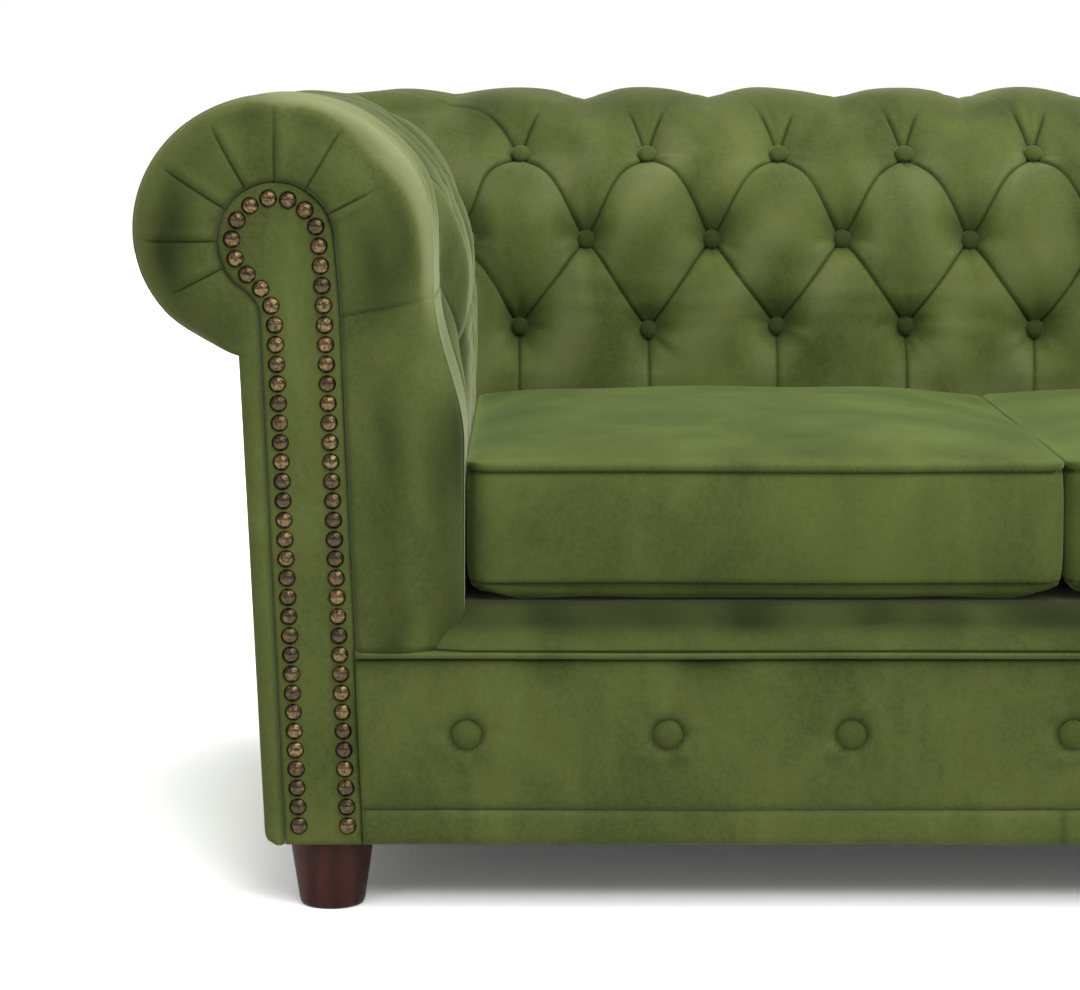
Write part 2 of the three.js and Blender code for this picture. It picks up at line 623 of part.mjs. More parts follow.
// Rails of the seat frame
function seatFrame() {
  const railEnd = LEG_OUTSET + RAIL_THICKNESS;
  const sideRailY = FRONT_RAIL_Y + RAIL_THICKNESS + CONTACT;
  const boltHole = (x, y) => {
    const radius = BOLT_RADIUS + BOLT_CLEARANCE;
    const top = RAIL_BOTTOM_Z + BOLT_REACH + BOLT_CLEARANCE;
    const below = RAIL_BOTTOM_Z - OVERRUN;
    return turned([[0, below], [radius, below], [radius, top], [0, top]], x, y, BOLT_SIDES);
  };
  const rail = (y) => {
    const bar = blockAt(-railEnd, railEnd, y, y + RAIL_THICKNESS, RAIL_BOTTOM_Z, FRAME_TOP_Z);
    return cut(bar, [-LEG_OUTSET, LEG_OUTSET].map((x) => boltHole(x, y + RAIL_THICKNESS / 2)));
  };
  add('front_rail', rail(FRONT_RAIL_Y), beech);
  add('rear_rail', rail(REAR_RAIL_Y), beech);
  const inner = PAD_FACE + SIDE_RAIL_SET_OUT;
  const outer = BOARD_FACE + INNER_BOARD_THICKNESS;
  const rearY = REAR_RAIL_Y - CONTACT;
  addPair('side_rail', blockAt(inner, outer, sideRailY, rearY, RAIL_BOTTOM_Z, FRAME_TOP_Z), beech);
  const half = CROSS_RAIL_THICKNESS / 2;
  const crossX = CUSHION_PITCH / 2;
  const crossRail = blockAt(
    crossX - half, crossX + half, sideRailY, SEAT_REAR_RAIL_Y - CONTACT, RAIL_BOTTOM_Z, FRAME_TOP_Z);
  addPair('cross_rail', crossRail, beech);
  const between = inner - CONTACT;
  const seatRearRail = blockAt(
    -between, between, SEAT_REAR_RAIL_Y, SEAT_REAR_RAIL_Y + SEAT_REAR_RAIL_THICKNESS,
    RAIL_BOTTOM_Z, FRAME_TOP_Z);
  add('seat_rear_rail', seatRearRail, beech);
}

// Sinuous springs run from the front rail to the seat's rear rail and arch up under the deck
function seatSprings() {
  const startY = FRONT_RAIL_Y + RAIL_THICKNESS / 2;
  const run = SEAT_REAR_RAIL_Y + SEAT_REAR_RAIL_REACH / 2 - startY;
  const waves = Math.round(run / SPRING_WAVE);
  const count = SEATS * SPRINGS_PER_SEAT;
  const restZ = FRAME_TOP_Z + CONTACT + SPRING_WIRE_RADIUS;
  for (let n = 0; n < count; n++) {
    const x = CUSHION_PITCH * ((n + 1 / 2) / SPRINGS_PER_SEAT - SEATS / 2);
    const rings = [];
    for (let i = 0; i <= waves; i++) {
      const y = startY + (run * i) / waves;
      const side = x + (i % 2 ? SPRING_WIDTH : -SPRING_WIDTH) / 2;
      const z = restZ + SPRING_ARCH * Math.sin((Math.PI * i) / waves);
      const r = SPRING_WIRE_RADIUS;
      const w = (r * Math.hypot(SPRING_WIDTH, SPRING_WAVE)) / SPRING_WAVE;
      const corners = [[-w, -r], [-w, r], [w, r], [w, -r]];
      rings.push(corners.map(([dx, dz]) => new THREE.Vector3(side + dx, y, z + dz)));
    }
    add(`seat_spring_${n + 1}`, loft(rings, acrossY), steel);
  }
}

// The sprung deck, with the sloping lip and its welt in front of the cushions
function seatDeck() {
  const lipRear = FRONT_Y + LIP_DEPTH;
  const slopeShares = [[0.12, 0.4], [0.45, 0.76]];
  const slope = slopeShares.map(([back, up]) =>
    [FRONT_Y + back * LIP_DEPTH, PAD_FOOT_Z + WELT_HEIGHT + up * (DECK_RISE - WELT_HEIGHT)]);
  const under = DECK_TOP_Z - DECK_THICKNESS;
  const outline = [
    [FRONT_Y, PAD_FOOT_Z], [FRONT_Y, PAD_FOOT_Z + WELT_HEIGHT], ...slope, [lipRear, DECK_TOP_Z],
    [BACK_FACE_Y - CONTACT, DECK_TOP_Z], [BACK_FACE_Y - CONTACT, under],
    [FRONT_RAIL_Y, under], [FRONT_BOARD_Y, PAD_FOOT_Z],
  ];
  const half = PAD_FACE - CONTACT;
  add('seat_deck', alongX(outline, -half, half), velvet);
}

// The padded front border, dipped at each of its buttons
function frontBorder() {
  const rear = FRONT_RAIL_Y - CONTACT;
  const section = (x, dip) => {
    const crown = BORDER_FRONT_Y + dip;
    const shoulder = BORDER_FRONT_Y + FRONT_BORDER_CROWN / 4;
    const edge = BORDER_FRONT_Y + FRONT_BORDER_CROWN;
    const low = BORDER_BOTTOM_Z;
    const high = BORDER_TOP_Z;
    const flat = DIP_FLAT_SHARE * BORDER_BUTTON_RADIUS;
    const outline = [
      [rear, low], [edge, low], [shoulder, low + FRONT_BORDER_ROUND], [crown, BORDER_BUTTON_Z - flat],
      [crown, BORDER_BUTTON_Z + flat], [shoulder, high - FRONT_BORDER_ROUND], [edge, high], [rear, high],
    ];
    return outline.map(([y, z]) => new THREE.Vector3(x, y, z));
  };
  const rings = [section(-BORDER_HALF, 0)];
  const reaches = [
    [-DIP_REACH_SHARE, 0], [-DIP_FLAT_SHARE, BORDER_DIP], [DIP_FLAT_SHARE, BORDER_DIP], [DIP_REACH_SHARE, 0],
  ];
  for (const x of buttonPlaces()) {
    for (const [reach, dip] of reaches) rings.push(section(x + reach * BORDER_BUTTON_RADIUS, dip));
  }
  rings.push(section(BORDER_HALF, 0));
  add('front_border', loft(rings, acrossX), velvet);
}

function buttonPlaces() {
  const right = BORDER_BUTTON_SHARES.map((share) => share * BORDER_HALF);
  return [...right.map((x) => -x).reverse(), ...right];
}

function borderButtons() {
  const seatY = BORDER_FRONT_Y + BORDER_DIP - CONTACT;
  const profile = [
    [0, 0], [BORDER_BUTTON_RADIUS, 0], [BORDER_BUTTON_RADIUS, BORDER_BUTTON_THICKNESS / 2],
    [0, BORDER_BUTTON_THICKNESS],
  ];
  buttonPlaces().forEach((x, i) => {
    const button = turned(profile, 0, 0, BORDER_BUTTON_SIDES).rotateX(Math.PI / 2);
    add(`border_button_${i + 1}`, button.translate(x, seatY, BORDER_BUTTON_Z), velvet);
  });
}

function baseBand() {
  const front = BORDER_FRONT_Y + FRONT_BORDER_CROWN / 2;
  const rear = FRONT_RAIL_Y - CONTACT;
  const band = blockAt(-BORDER_HALF, BORDER_HALF, front, rear, BASE_Z, BASE_Z + FRONT_BAND_HEIGHT);
  add('base_band', band, velvet);
}

function dustCover() {
  const half = LEG_OUTSET - BOLT_PLATE_RADIUS * 2;
  const front = FRONT_RAIL_Y;
  const rear = REAR_RAIL_Y + RAIL_THICKNESS;
  add('dust_cover', blockAt(-half, half, front, rear, BASE_Z, BASE_Z + DUST_COVER_THICKNESS), lining);
}

// One ring of a cushion: a rounded rectangle whose sides pull in between the corners
function cushionRing(x, y, halfWidth, halfDepth, radius, z) {
  const points = [];
  const corners = [[1, 1], [-1, 1], [-1, -1], [1, -1]];
  corners.forEach(([sx, sy], k) => {
    const cx = sx * (halfWidth - radius);
    const cy = sy * (halfDepth - radius);
    for (let i = 0; i <= CUSHION_CORNER_STEPS; i++) {
      const angle = (Math.PI / 2) * (k + i / CUSHION_CORNER_STEPS);
      const [dx, dy] = [radius * Math.cos(angle), radius * Math.sin(angle)];
      points.push(new THREE.Vector3(x + cx + dx, y + cy + dy, z));
    }
    const [nx, ny] = corners[(k + 1) % corners.length];
    const from = points.at(-1).clone();
    const nextAngle = (Math.PI / 2) * (k + 1);
    const to = new THREE.Vector3(
      x + nx * (halfWidth - radius) + radius * Math.cos(nextAngle),
      y + ny * (halfDepth - radius) + radius * Math.sin(nextAngle), z);
    for (let i = 1; i < CUSHION_SIDE_STEPS; i++) {
      const point = from.clone().lerp(to, i / CUSHION_SIDE_STEPS);
      const pull = CUSHION_PULL_IN * Math.sin((Math.PI * i) / CUSHION_SIDE_STEPS);
      point.x -= pull * Math.cos(nextAngle);
      point.y -= pull * Math.sin(nextAngle);
      points.push(point);
    }
  });
  return points;
}

// A box cushion with a crowned top, its seams at the foot and the top of the side
function cushion(x) {
  const frontY = FRONT_Y + CUSHION_FRONT_SETBACK;
  const rearY = BACK_FACE_Y - CUSHION_GAP / 2;
  const y = (frontY + rearY) / 2;
  const halfWidth = (CUSHION_PITCH - CUSHION_GAP) / 2;
  const halfDepth = (rearY - frontY) / 2;
  const footZ = DECK_TOP_Z + CONTACT;
  const seamZ = footZ + CUSHION_SEAM_Z;
  const ring = (setIn, z) => {
    const radius = Math.max(CUSHION_CORNER_RADIUS - setIn, CUSHION_FOOT_ROUND);
    return cushionRing(x, y, halfWidth - setIn, halfDepth - setIn, radius, z);
  };
  const crownShares = [[0.07, 0.3], [0.22, 0.62], [0.5, 0.9]];
  const crown = crownShares.map(([inwards, up]) =>
    ring(inwards * halfWidth, seamZ + up * CUSHION_CROWN));
  const top = ring(CUSHION_CREST_SET_IN, seamZ + CUSHION_CROWN);
  const rings = [
    ring(CUSHION_FOOT_ROUND * 2, footZ),
    ring(CUSHION_SIDE_SWELL + CUSHION_FOOT_ROUND / 2, footZ + CUSHION_FOOT_ROUND / 3),
    ring(CUSHION_SIDE_SWELL, footZ + CUSHION_FOOT_ROUND),
    ring(0, (footZ + seamZ) / 2),
    ring(CUSHION_SIDE_SWELL, seamZ),
    ...crown, top,
  ];
  return loft(rings, acrossZ);
}

function legs() {
  const bore = BOLT_RADIUS + BOLT_CLEARANCE;
  const boreFloor = LEG_HEIGHT - BOLT_REACH - BOLT_CLEARANCE;
  const profile = [
    [0, 0], [LEG_FOOT_RADIUS - LEG_EDGE_ROUND, 0], [LEG_FOOT_RADIUS, LEG_EDGE_ROUND],
    [LEG_TOP_RADIUS, LEG_HEIGHT], [bore, LEG_HEIGHT], [bore, boreFloor], [0, boreFloor],
  ];
  const plateTop = BASE_Z + BOLT_PLATE_THICKNESS;
  const boltProfile = [
    [0, LEG_HEIGHT - BOLT_REACH], [BOLT_RADIUS, LEG_HEIGHT - BOLT_REACH], [BOLT_RADIUS, BASE_Z],
    [BOLT_PLATE_RADIUS, BASE_Z], [BOLT_PLATE_RADIUS, plateTop], [BOLT_RADIUS, plateTop],
    [BOLT_RADIUS, plateTop + BOLT_REACH], [0, plateTop + BOLT_REACH],
  ];
  for (const [end, railY] of [['front', FRONT_RAIL_Y], ['rear', REAR_RAIL_Y]]) {
    const y = railY + RAIL_THICKNESS / 2;
    addPair(`${end}_leg`, turned(profile, LEG_OUTSET, y, LEG_SIDES), darkWood);
    addPair(`${end}_leg_bolt`, turned(boltProfile, LEG_OUTSET, y, BOLT_SIDES), steel);
  }
}

seatFrame();
seatSprings();
armBoards();
backBoards();
addPair('arm_front_board', armFrontBoard(), plywood);
addPair('arm_pad', armPad(), velvet);
add('back_pad', backPad(), velvet);
addPair('arm_face', armFace(), velvet);
addPair('arm_facing', facing(), velvet);
addPair('arm_nail_trim', nailTrim(), brass);
addPair('outer_arm_cover', outerArmCover(), velvet);
add('outside_back_cover', outsideBackCover(), velvet);
seatDeck();
frontBorder();
borderButtons();
baseBand();
dustCover();
['left', 'centre', 'right'].forEach((side, i) => {
  add(`${side}_seat_cushion`, cushion((i - (SEATS - 1) / 2) * CUSHION_PITCH), velvet);
});
legs();

export default sofa;
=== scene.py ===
import json
import math

import bmesh
import bpy
import numpy as np
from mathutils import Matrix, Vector
from mathutils.bvhtree import BVHTree


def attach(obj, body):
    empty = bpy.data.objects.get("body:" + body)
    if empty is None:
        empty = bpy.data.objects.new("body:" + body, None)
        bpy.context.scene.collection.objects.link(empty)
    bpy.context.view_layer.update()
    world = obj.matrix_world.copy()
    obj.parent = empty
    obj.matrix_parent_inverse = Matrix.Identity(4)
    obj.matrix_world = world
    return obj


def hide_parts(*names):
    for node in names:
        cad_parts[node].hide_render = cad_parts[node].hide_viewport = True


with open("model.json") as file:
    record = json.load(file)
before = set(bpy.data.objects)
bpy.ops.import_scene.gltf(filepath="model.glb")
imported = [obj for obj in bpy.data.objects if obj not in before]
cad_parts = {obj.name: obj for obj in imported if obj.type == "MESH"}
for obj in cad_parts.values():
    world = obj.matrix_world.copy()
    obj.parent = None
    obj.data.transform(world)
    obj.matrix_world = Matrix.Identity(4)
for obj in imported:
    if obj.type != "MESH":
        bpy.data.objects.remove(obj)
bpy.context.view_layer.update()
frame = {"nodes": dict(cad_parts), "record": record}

# Every size is in millimetres. MM turns it to metres when a mesh is made.
MM = 0.001

# The sofa, as the model has it
SOFA_FRONT = -450
SOFA_REAR = 450
CUSHION_PITCH = 531
CUSHION_GAP = 2.5
CUSHION_FRONT = -412
CUSHION_REAR = 166.5
DECK_TOP = 275.9
CUSHION_FOOT = 276.2
CUSHION_SEAM = 400.7
CUSHION_CREST = 422.2
BASE = 65.3
BAND_TOP = 96.3
BORDER_FOOT = 96.6
BORDER_TOP = 232.0
BORDER_HALF = 887
PAD_FOOT = 232.6

# Section of the arms and the back: across counts outwards, and the back's Y is across less BACK_SHIFT
PAD_FACE = 797.8
PAD_FOOT_TUCK = 1.5
SHOULDER_START = 539
SHOULDER_PULL = 60
SHOULDER_END_ANGLE = 130
ROLL_CENTRE = 955
ROLL_CENTRE_Z = 605.5
ROLL_HALF_WIDTH = 125
ROLL_HALF_HEIGHT = 113.5
ROLL_END_ANGLE = -72.6
BACK_SHIFT = 630
BACK_FACE_Y = 167.8
CORNER_ROUND_SHARE = 0.75
COVER_LEAN = 18
COVER_DEPTH = 14

# Deep buttoning
PITCH = 136.8
ROW_RUNS = (586.6, 447.6, 332.6, 236.6)
WAIST_DEPTH = 26
WAIST_START_RUN = 185
WAIST_RUN = 270
BUTTON_DEPTH = 22
BUTTON_RADIUS = 9.9
ARM_PITCHES = 3

# Arm front
FACE_BACK = -409
DOME_REACH = 58
DOME_DEPTH = 33
FACE_SEAM_Z = 533
WELT = 6.4
HEAD_ACROSS = 959
HEAD_Z = 597.5
HEAD_RADIUS = 50.5
NECK_Z = 534
FACING_FOOT = (887.35, 956.35)
FACING_NECK = (904.35, 973.35)
FACING_FRONT = -444.2
NAIL_INSET = 13
NAIL_PITCH = 17
NAIL_RADIUS = 7.8
NAIL_HEIGHT = 5

# Covered buttons of the front border
BORDER_BUTTONS = (-795.7, -618.3, -456.8, -261.7, -89.6, 89.6, 261.7, 456.8, 618.3, 795.7)
BORDER_BUTTON_Z = 164.3
BORDER_BUTTON_RADIUS = 13.5

# Legs
LEG_TOP_RADIUS = 38.2
LEG_FOOT_RADIUS = 29
LEG_HEIGHT = 65
LEG_X = 918
LEG_YS = (-393.7, 300)

scene = bpy.context.scene
rng = np.random.default_rng(4)


# The camera stands where the photograph was taken from
camera_data = bpy.data.cameras.new("camera")
camera_data.sensor_width = 36
camera_data.lens = 105.3
camera = bpy.data.objects.new("camera", camera_data)
camera.location = (-0.731, -3.167, 0.758)
camera.rotation_euler = (math.radians(90 - 7.96), 0, 0)
scene.collection.objects.link(camera)
scene.camera = camera


def linear(hex_colour):
    """An sRGB hex colour as the linear numbers that a socket takes."""
    value = hex_colour.lstrip("#")
    shares = [int(value[i:i + 2], 16) / 255 for i in (0, 2, 4)]
    return [c / 12.92 if c <= 0.04045 else ((c + 0.055) / 1.055) ** 2.4 for c in shares] + [1.0]


def add_node(tree, kind, inputs=(), **settings):
    """A new node with its settings. An input is a number, a colour or the socket that it is linked from."""
    made = tree.nodes.new(kind)
    for name, value in settings.items():
        setattr(made, name, value)
    for socket, value in dict(inputs).items():
        if isinstance(value, bpy.types.NodeSocket):
            tree.links.new(value, made.inputs[socket])
        else:
            made.inputs[socket].default_value = value
    return made


def new_material(name):
    """A material with its tree emptied but for the output."""
    material = bpy.data.materials.new(name)
    material.use_nodes = True
    tree = material.node_tree
    tree.nodes.clear()
    output = add_node(tree, "ShaderNodeOutputMaterial")
    return material, tree, output


def between(tree, share, low, high, blend="MIX"):
    """A colour between two others, by a share that another node gives."""
    mix = add_node(tree, "ShaderNodeMix", data_type="RGBA", blend_type=blend)
    for socket, value in ((0, share), (6, low), (7, high)):
        if isinstance(value, bpy.types.NodeSocket):
            tree.links.new(value, mix.inputs[socket])
        else:
            mix.inputs[socket].default_value = value
    return mix.outputs[2]


def velvet(name, mid, shade, bright, sheen_tint):
    """Cut-pile cotton velvet, short upright pile in soft patches where the nap was stroked. Painted shade
    darkens its colour where its points' attribute is positive, and a painted sheen pales it where it is negative."""
    material, tree, output = new_material(name)
    place = add_node(tree, "ShaderNodeTexCoord").outputs["Object"]
    painted_light = add_node(tree, "ShaderNodeAttribute", attribute_name="painted_light").outputs["Fac"]
    # Patches of stroked nap are about 90 mm long and drawn out downwards
    stroke = add_node(tree, "ShaderNodeMapping", {"Vector": place, "Scale": (1.0, 1.0, 0.55)})
    patches = add_node(tree, "ShaderNodeTexNoise", {
        "Vector": stroke.outputs[0], "Scale": 11.0, "Detail": 4.0, "Roughness": 0.55, "Distortion": 0.6})
    patch_share = add_node(tree, "ShaderNodeMapRange", {
        "Value": patches.outputs[0], "From Min": 0.36, "From Max": 0.68})
    # Fine mottling of the pile, 4 mm, drawn coarser than the real tufts so that it shows
    mottle = add_node(tree, "ShaderNodeTexNoise", {
        "Vector": place, "Scale": 240.0, "Detail": 3.0, "Roughness": 0.7})
    base = between(tree, patch_share.outputs[0], linear(shade), linear(mid))
    speckle = add_node(tree, "ShaderNodeMapRange", {
        "Value": mottle.outputs[0], "From Min": 0.3, "From Max": 0.7, "To Min": 0.0, "To Max": 0.22})
    base = between(tree, speckle.outputs[0], base, linear(bright))
    # Painted sheen pales the colour where the attribute is negative, and painted shade darkens it towards
    # near black where it is positive
    pale = add_node(tree, "ShaderNodeMapRange", {
        "Value": painted_light, "From Min": 0.0, "From Max": -1.0, "To Min": 0.0, "To Max": 1.0})
    base = between(tree, pale.outputs[0], base, linear("#b3ba8a"))
    base = between(tree, painted_light, base, linear("#1b210b"))
    pile = add_node(tree, "ShaderNodeTexNoise", {
        "Vector": place, "Scale": 900.0, "Detail": 2.0, "Roughness": 0.6})
    soft = add_node(tree, "ShaderNodeBump", {
        "Height": patches.outputs[0], "Strength": 0.12, "Distance": 0.004})
    bump = add_node(tree, "ShaderNodeBump", {
        "Height": pile.outputs[0], "Strength": 0.25, "Distance": 0.0006, "Normal": soft.outputs[0]})
    shader = add_node(tree, "ShaderNodeBsdfPrincipled", {
        "Base Color": base, "Roughness": 0.9, "IOR": 1.45, "Specular IOR Level": 0.12,
        "Sheen Weight": 0.85, "Sheen Roughness": 0.38, "Sheen Tint": linear(sheen_tint),
        "Normal": bump.outputs[0]})
    tree.links.new(shader.outputs[0], output.inputs[0])
    return material


def turned_wood(name, pale, dark, coat):
    """Beech stained dark and lacquered satin: faint long grain under a soft shine."""
    material, tree, output = new_material(name)
    place = add_node(tree, "ShaderNodeTexCoord").outputs["Object"]
    # Growth rings 9 mm apart, stretched along the grain
    along = add_node(tree, "ShaderNodeMapping", {"Vector": place, "Scale": (1.0, 1.0, 0.12)})
    rings = add_node(tree, "ShaderNodeTexWave", {
        "Vector": along.outputs[0], "Scale": 16.0, "Distortion": 7.0, "Detail": 3.0, "Detail Scale": 2.0})
    fibres = add_node(tree, "ShaderNodeTexNoise", {
        "Vector": along.outputs[0], "Scale": 420.0, "Detail": 4.0, "Roughness": 0.6})
    colour = between(tree, rings.outputs[1], linear(pale), linear(dark))
    grain = add_node(tree, "ShaderNodeMapRange", {
        "Value": fibres.outputs[0], "From Min": 0.35, "From Max": 0.75, "To Min": 0.0, "To Max": 0.5})
    colour = between(tree, grain.outputs[0], colour, linear(dark))
    rough = add_node(tree, "ShaderNodeMapRange", {
        "Value": fibres.outputs[0], "To Min": 0.44, "To Max": 0.58})
    bump = add_node(tree, "ShaderNodeBump", {
        "Height": fibres.outputs[0], "Strength": 0.15, "Distance": 0.0003})
    shader = add_node(tree, "ShaderNodeBsdfPrincipled", {
        "Base Color": colour, "Roughness": rough.outputs[0], "IOR": 1.45, "Specular IOR Level": 0.14, "Coat Weight": coat,
        "Coat Roughness": 0.25, "Normal": bump.outputs[0]})
    tree.links.new(shader.outputs[0], output.inputs[0])
    return material


def plywood_board(name):
    """Birch plywood, sawn: pale face veneer with flat grain, unfinished and matte."""
    material, tree, output = new_material(name)
    place = add_node(tree, "ShaderNodeTexCoord").outputs["Object"]
    along = add_node(tree, "ShaderNodeMapping", {"Vector": place, "Scale": (0.15, 1.0, 1.0)})
    veneer = add_node(tree, "ShaderNodeTexNoise", {
        "Vector": along.outputs[0], "Scale": 60.0, "Detail": 5.0, "Roughness": 0.6, "Distortion": 0.8})
    colour = between(tree, veneer.outputs[0], linear("#d3b48a"), linear("#a98457"))
    bump = add_node(tree, "ShaderNodeBump", {
        "Height": veneer.outputs[0], "Strength": 0.2, "Distance": 0.0004})
    shader = add_node(tree, "ShaderNodeBsdfPrincipled", {
        "Base Color": colour, "Roughness": 0.78, "IOR": 1.5, "Normal": bump.outputs[0]})
    tree.links.new(shader.outputs[0], output.inputs[0])
    return material


def rubbed_brass(name):
    """Antiqued brass: dark oxide and metal rubbed bright, in 3 mm mottles."""
    material, tree, output = new_material(name)
    place = add_node(tree, "ShaderNodeTexCoord").outputs["Object"]
    mottle = add_node(tree, "ShaderNodeTexNoise", {
        "Vector": place, "Scale": 330.0, "Detail": 4.0, "Roughness": 0.65})
    share = add_node(tree, "ShaderNodeMapRange", {
        "Value": mottle.outputs[0], "From Min": 0.36, "From Max": 0.66})
    colour = between(tree, share.outputs[0], linear("#2b241a"), linear("#756242"))
    # Some nails are rubbed paler and some kept dark: tone that changes every 20 mm or so
    tone = add_node(tree, "ShaderNodeTexNoise", {"Vector": place, "Scale": 46.0, "Detail": 0.0})
    dulled = add_node(tree, "ShaderNodeMapRange", {
        "Value": tone.outputs[0], "From Min": 0.38, "From Max": 0.62, "To Min": 0.75, "To Max": 0.0})
    colour = between(tree, dulled.outputs[0], colour, linear("#2e281f"))
    rough = add_node(tree, "ShaderNodeMapRange", {
        "Value": share.outputs[0], "To Min": 0.28, "To Max": 0.15})
    bump = add_node(tree, "ShaderNodeBump", {
        "Height": mottle.outputs[0], "Strength": 0.2, "Distance": 0.0004})
    shader = add_node(tree, "ShaderNodeBsdfPrincipled", {
        "Base Color": colour, "Metallic": 0.9, "Roughness": rough.outputs[0], "Normal": bump.outputs[0]})
    tree.links.new(shader.outputs[0], output.inputs[0])
    return material


def drawn_steel(name):
    """Bright drawn steel wire and pressed plate: grey metal with fine streaks and a satin shine."""
    material, tree, output = new_material(name)
    place = add_node(tree, "ShaderNodeTexCoord").outputs["Object"]
    streaks = add_node(tree, "ShaderNodeTexNoise", {"Vector": place, "Scale": 500.0, "Detail": 3.0})
    rough = add_node(tree, "ShaderNodeMapRange", {
        "Value": streaks.outputs[0], "To Min": 0.28, "To Max": 0.45})
    colour = between(tree, streaks.outputs[0], linear("#85878a"), linear("#a5a7a9"))
    shader = add_node(tree, "ShaderNodeBsdfPrincipled", {
        "Base Color": colour, "Metallic": 1.0, "Roughness": rough.outputs[0]})
    tree.links.new(shader.outputs[0], output.inputs[0])
    return material


def woven_lining(name):
    """Spun lining cloth stapled under the frame: near black with a plain weave, here 2 mm so that it shows."""
    material, tree, output = new_material(name)
    place = add_node(tree, "ShaderNodeTexCoord").outputs["Object"]
    weave = add_node(tree, "ShaderNodeTexChecker", {
        "Vector": place, "Scale": 500.0, "Color1": linear("#262626"), "Color2": linear("#333333")})
    bump = add_node(tree, "ShaderNodeBump", {
        "Height": weave.outputs[1], "Strength": 0.3, "Distance": 0.0003})
    shader = add_node(tree, "ShaderNodeBsdfPrincipled", {
        "Base Color": weave.outputs[0], "Roughness": 0.9, "IOR": 1.45, "Normal": bump.outputs[0]})
    tree.links.new(shader.outputs[0], output.inputs[0])
    return material


body_velvet = velvet("moss_velvet", "#68723a", "#4d562a", "#838c56", "#c9d0a4")
# The cushions' velvet: a copy with greener colour and sheen tint for the look of the light on the seat tops, a painted
# sheen
seat_velvet_lit_copy = velvet("moss_velvet_seat_painted_sheen", "#636f37", "#4c562a", "#7b8752", "#9bb672")
# The buttons' velvet: a darker copy for the shade in the pits where most of them sit, painted shade
shaded_button_velvet = velvet("moss_velvet_button_painted_shade", "#5b6433", "#485026", "#757e4a", "#b9c48e")
thread = velvet("sewing_thread", "#4a5527", "#39421c", "#5f6b35", "#8c9a60")
leg_wood = turned_wood("stained_beech", "#4c2c23", "#331d17", 0.0)
frame_beech = turned_wood("planed_beech", "#c9a06c", "#a97d4c", 0.0)
birch_ply = plywood_board("birch_plywood")
nail_brass = rubbed_brass("antique_brass")
steel = drawn_steel("drawn_steel")
lining = woven_lining("black_lining")


def piece_from(name, points, faces, material, smooth=True, painted_light=None):
    """A mesh object from points in millimetres, with an optional painted shade for each point, a painted sheen where it
    is negative.
    """
    mesh = bpy.data.meshes.new(name)
    mesh.from_pydata((np.asarray(points) * MM).tolist(), [], [list(map(int, f)) for f in faces])
    mesh.materials.append(material)
    if painted_light is not None:
        attribute = mesh.attributes.new("painted_light", "FLOAT", "POINT")
        attribute.data.foreach_set("value", np.asarray(painted_light, dtype=np.float32))
    mesh.polygons.foreach_set("use_smooth", [smooth] * len(mesh.polygons))
    mesh.update()
    made = bpy.data.objects.new(name, mesh)
    scene.collection.objects.link(made)
    return made


def merged(made, distance=0.02):
    """Joins a mesh's vertices that meet and turns its faces outwards."""
    work = bmesh.new()
    work.from_mesh(made.data)
    bmesh.ops.remove_doubles(work, verts=work.verts, dist=distance * MM)
    bmesh.ops.recalc_face_normals(work, faces=work.faces)
    work.to_mesh(made.data)
    work.free()
    return made


def mirrored(made, name):
    """The same piece on the sofa's other side."""
    mesh = made.data.copy()
    mesh.name = name
    places = np.empty(len(mesh.vertices) * 3)
    mesh.vertices.foreach_get("co", places)
    places[0::3] *= -1
    mesh.vertices.foreach_set("co", places)
    mesh.flip_normals()
    copy = bpy.data.objects.new(name, mesh)
    scene.collection.objects.link(copy)
    return copy


def settled(made):
    """Turns a piece's modifiers into its mesh."""
    graph = bpy.context.evaluated_depsgraph_get()
    graph.update()
    mesh = bpy.data.meshes.new_from_object(made.evaluated_get(graph), depsgraph=graph)
    made.modifiers.clear()
    made.data = mesh
    return made


def finished(made, body, replaced=()):
    """Ties a finished piece to its body and the nodes that it stands for."""
    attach(made, body)
    if replaced:
        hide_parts(*replaced)


def grid_faces(rows, columns, first=0, around=False):
    """Faces of a grid of points, counted row by row. Around closes each row on itself."""
    faces = []
    last = columns if around else columns - 1
    for i in range(rows - 1):
        for j in range(last):
            k = (j + 1) % columns
            a, b = first + i * columns, first + (i + 1) * columns
            faces.append((a + j, b + j, b + k, a + k))
    return faces


def pleated_faces(u, row):
    """Triangles of a tufted grid, each quad split along the pleat that is nearer."""
    faces = []
    rows, columns = u.shape
    centre_u = (u[1:, 1:] + u[:-1, :-1]) / 2
    held = np.clip((row[1:, 1:] + row[:-1, :-1]) / 2, 0, 3)
    rising = np.abs(centre_u + held / 2 - np.round(centre_u + held / 2))
    falling = np.abs(centre_u - held / 2 - np.round(centre_u - held / 2))
    for i in range(rows - 1):
        for j in range(columns - 1):
            a, b = i * columns + j, (i + 1) * columns + j
            if rising[i, j] < falling[i, j]:
                faces += [(a, b, b + 1), (a, b + 1, a + 1)]
            else:
                faces += [(a, b, a + 1), (b, b + 1, a + 1)]
    return faces


def closed_body(name, rings, material, painted_light=None):
    """A closed body through rings that all have as many points, with its two ends filled."""
    rings = np.asarray(rings, dtype=float)
    count = rings.shape[1]
    faces = grid_faces(len(rings), count, around=True)
    faces.append(tuple(range(count)))
    start = (len(rings) - 1) * count
    faces.append(tuple(range(start + count - 1, start - 1, -1)))
    made = piece_from(name, rings.reshape(-1, 3), faces, material, painted_light=painted_light)
    return merged(made)


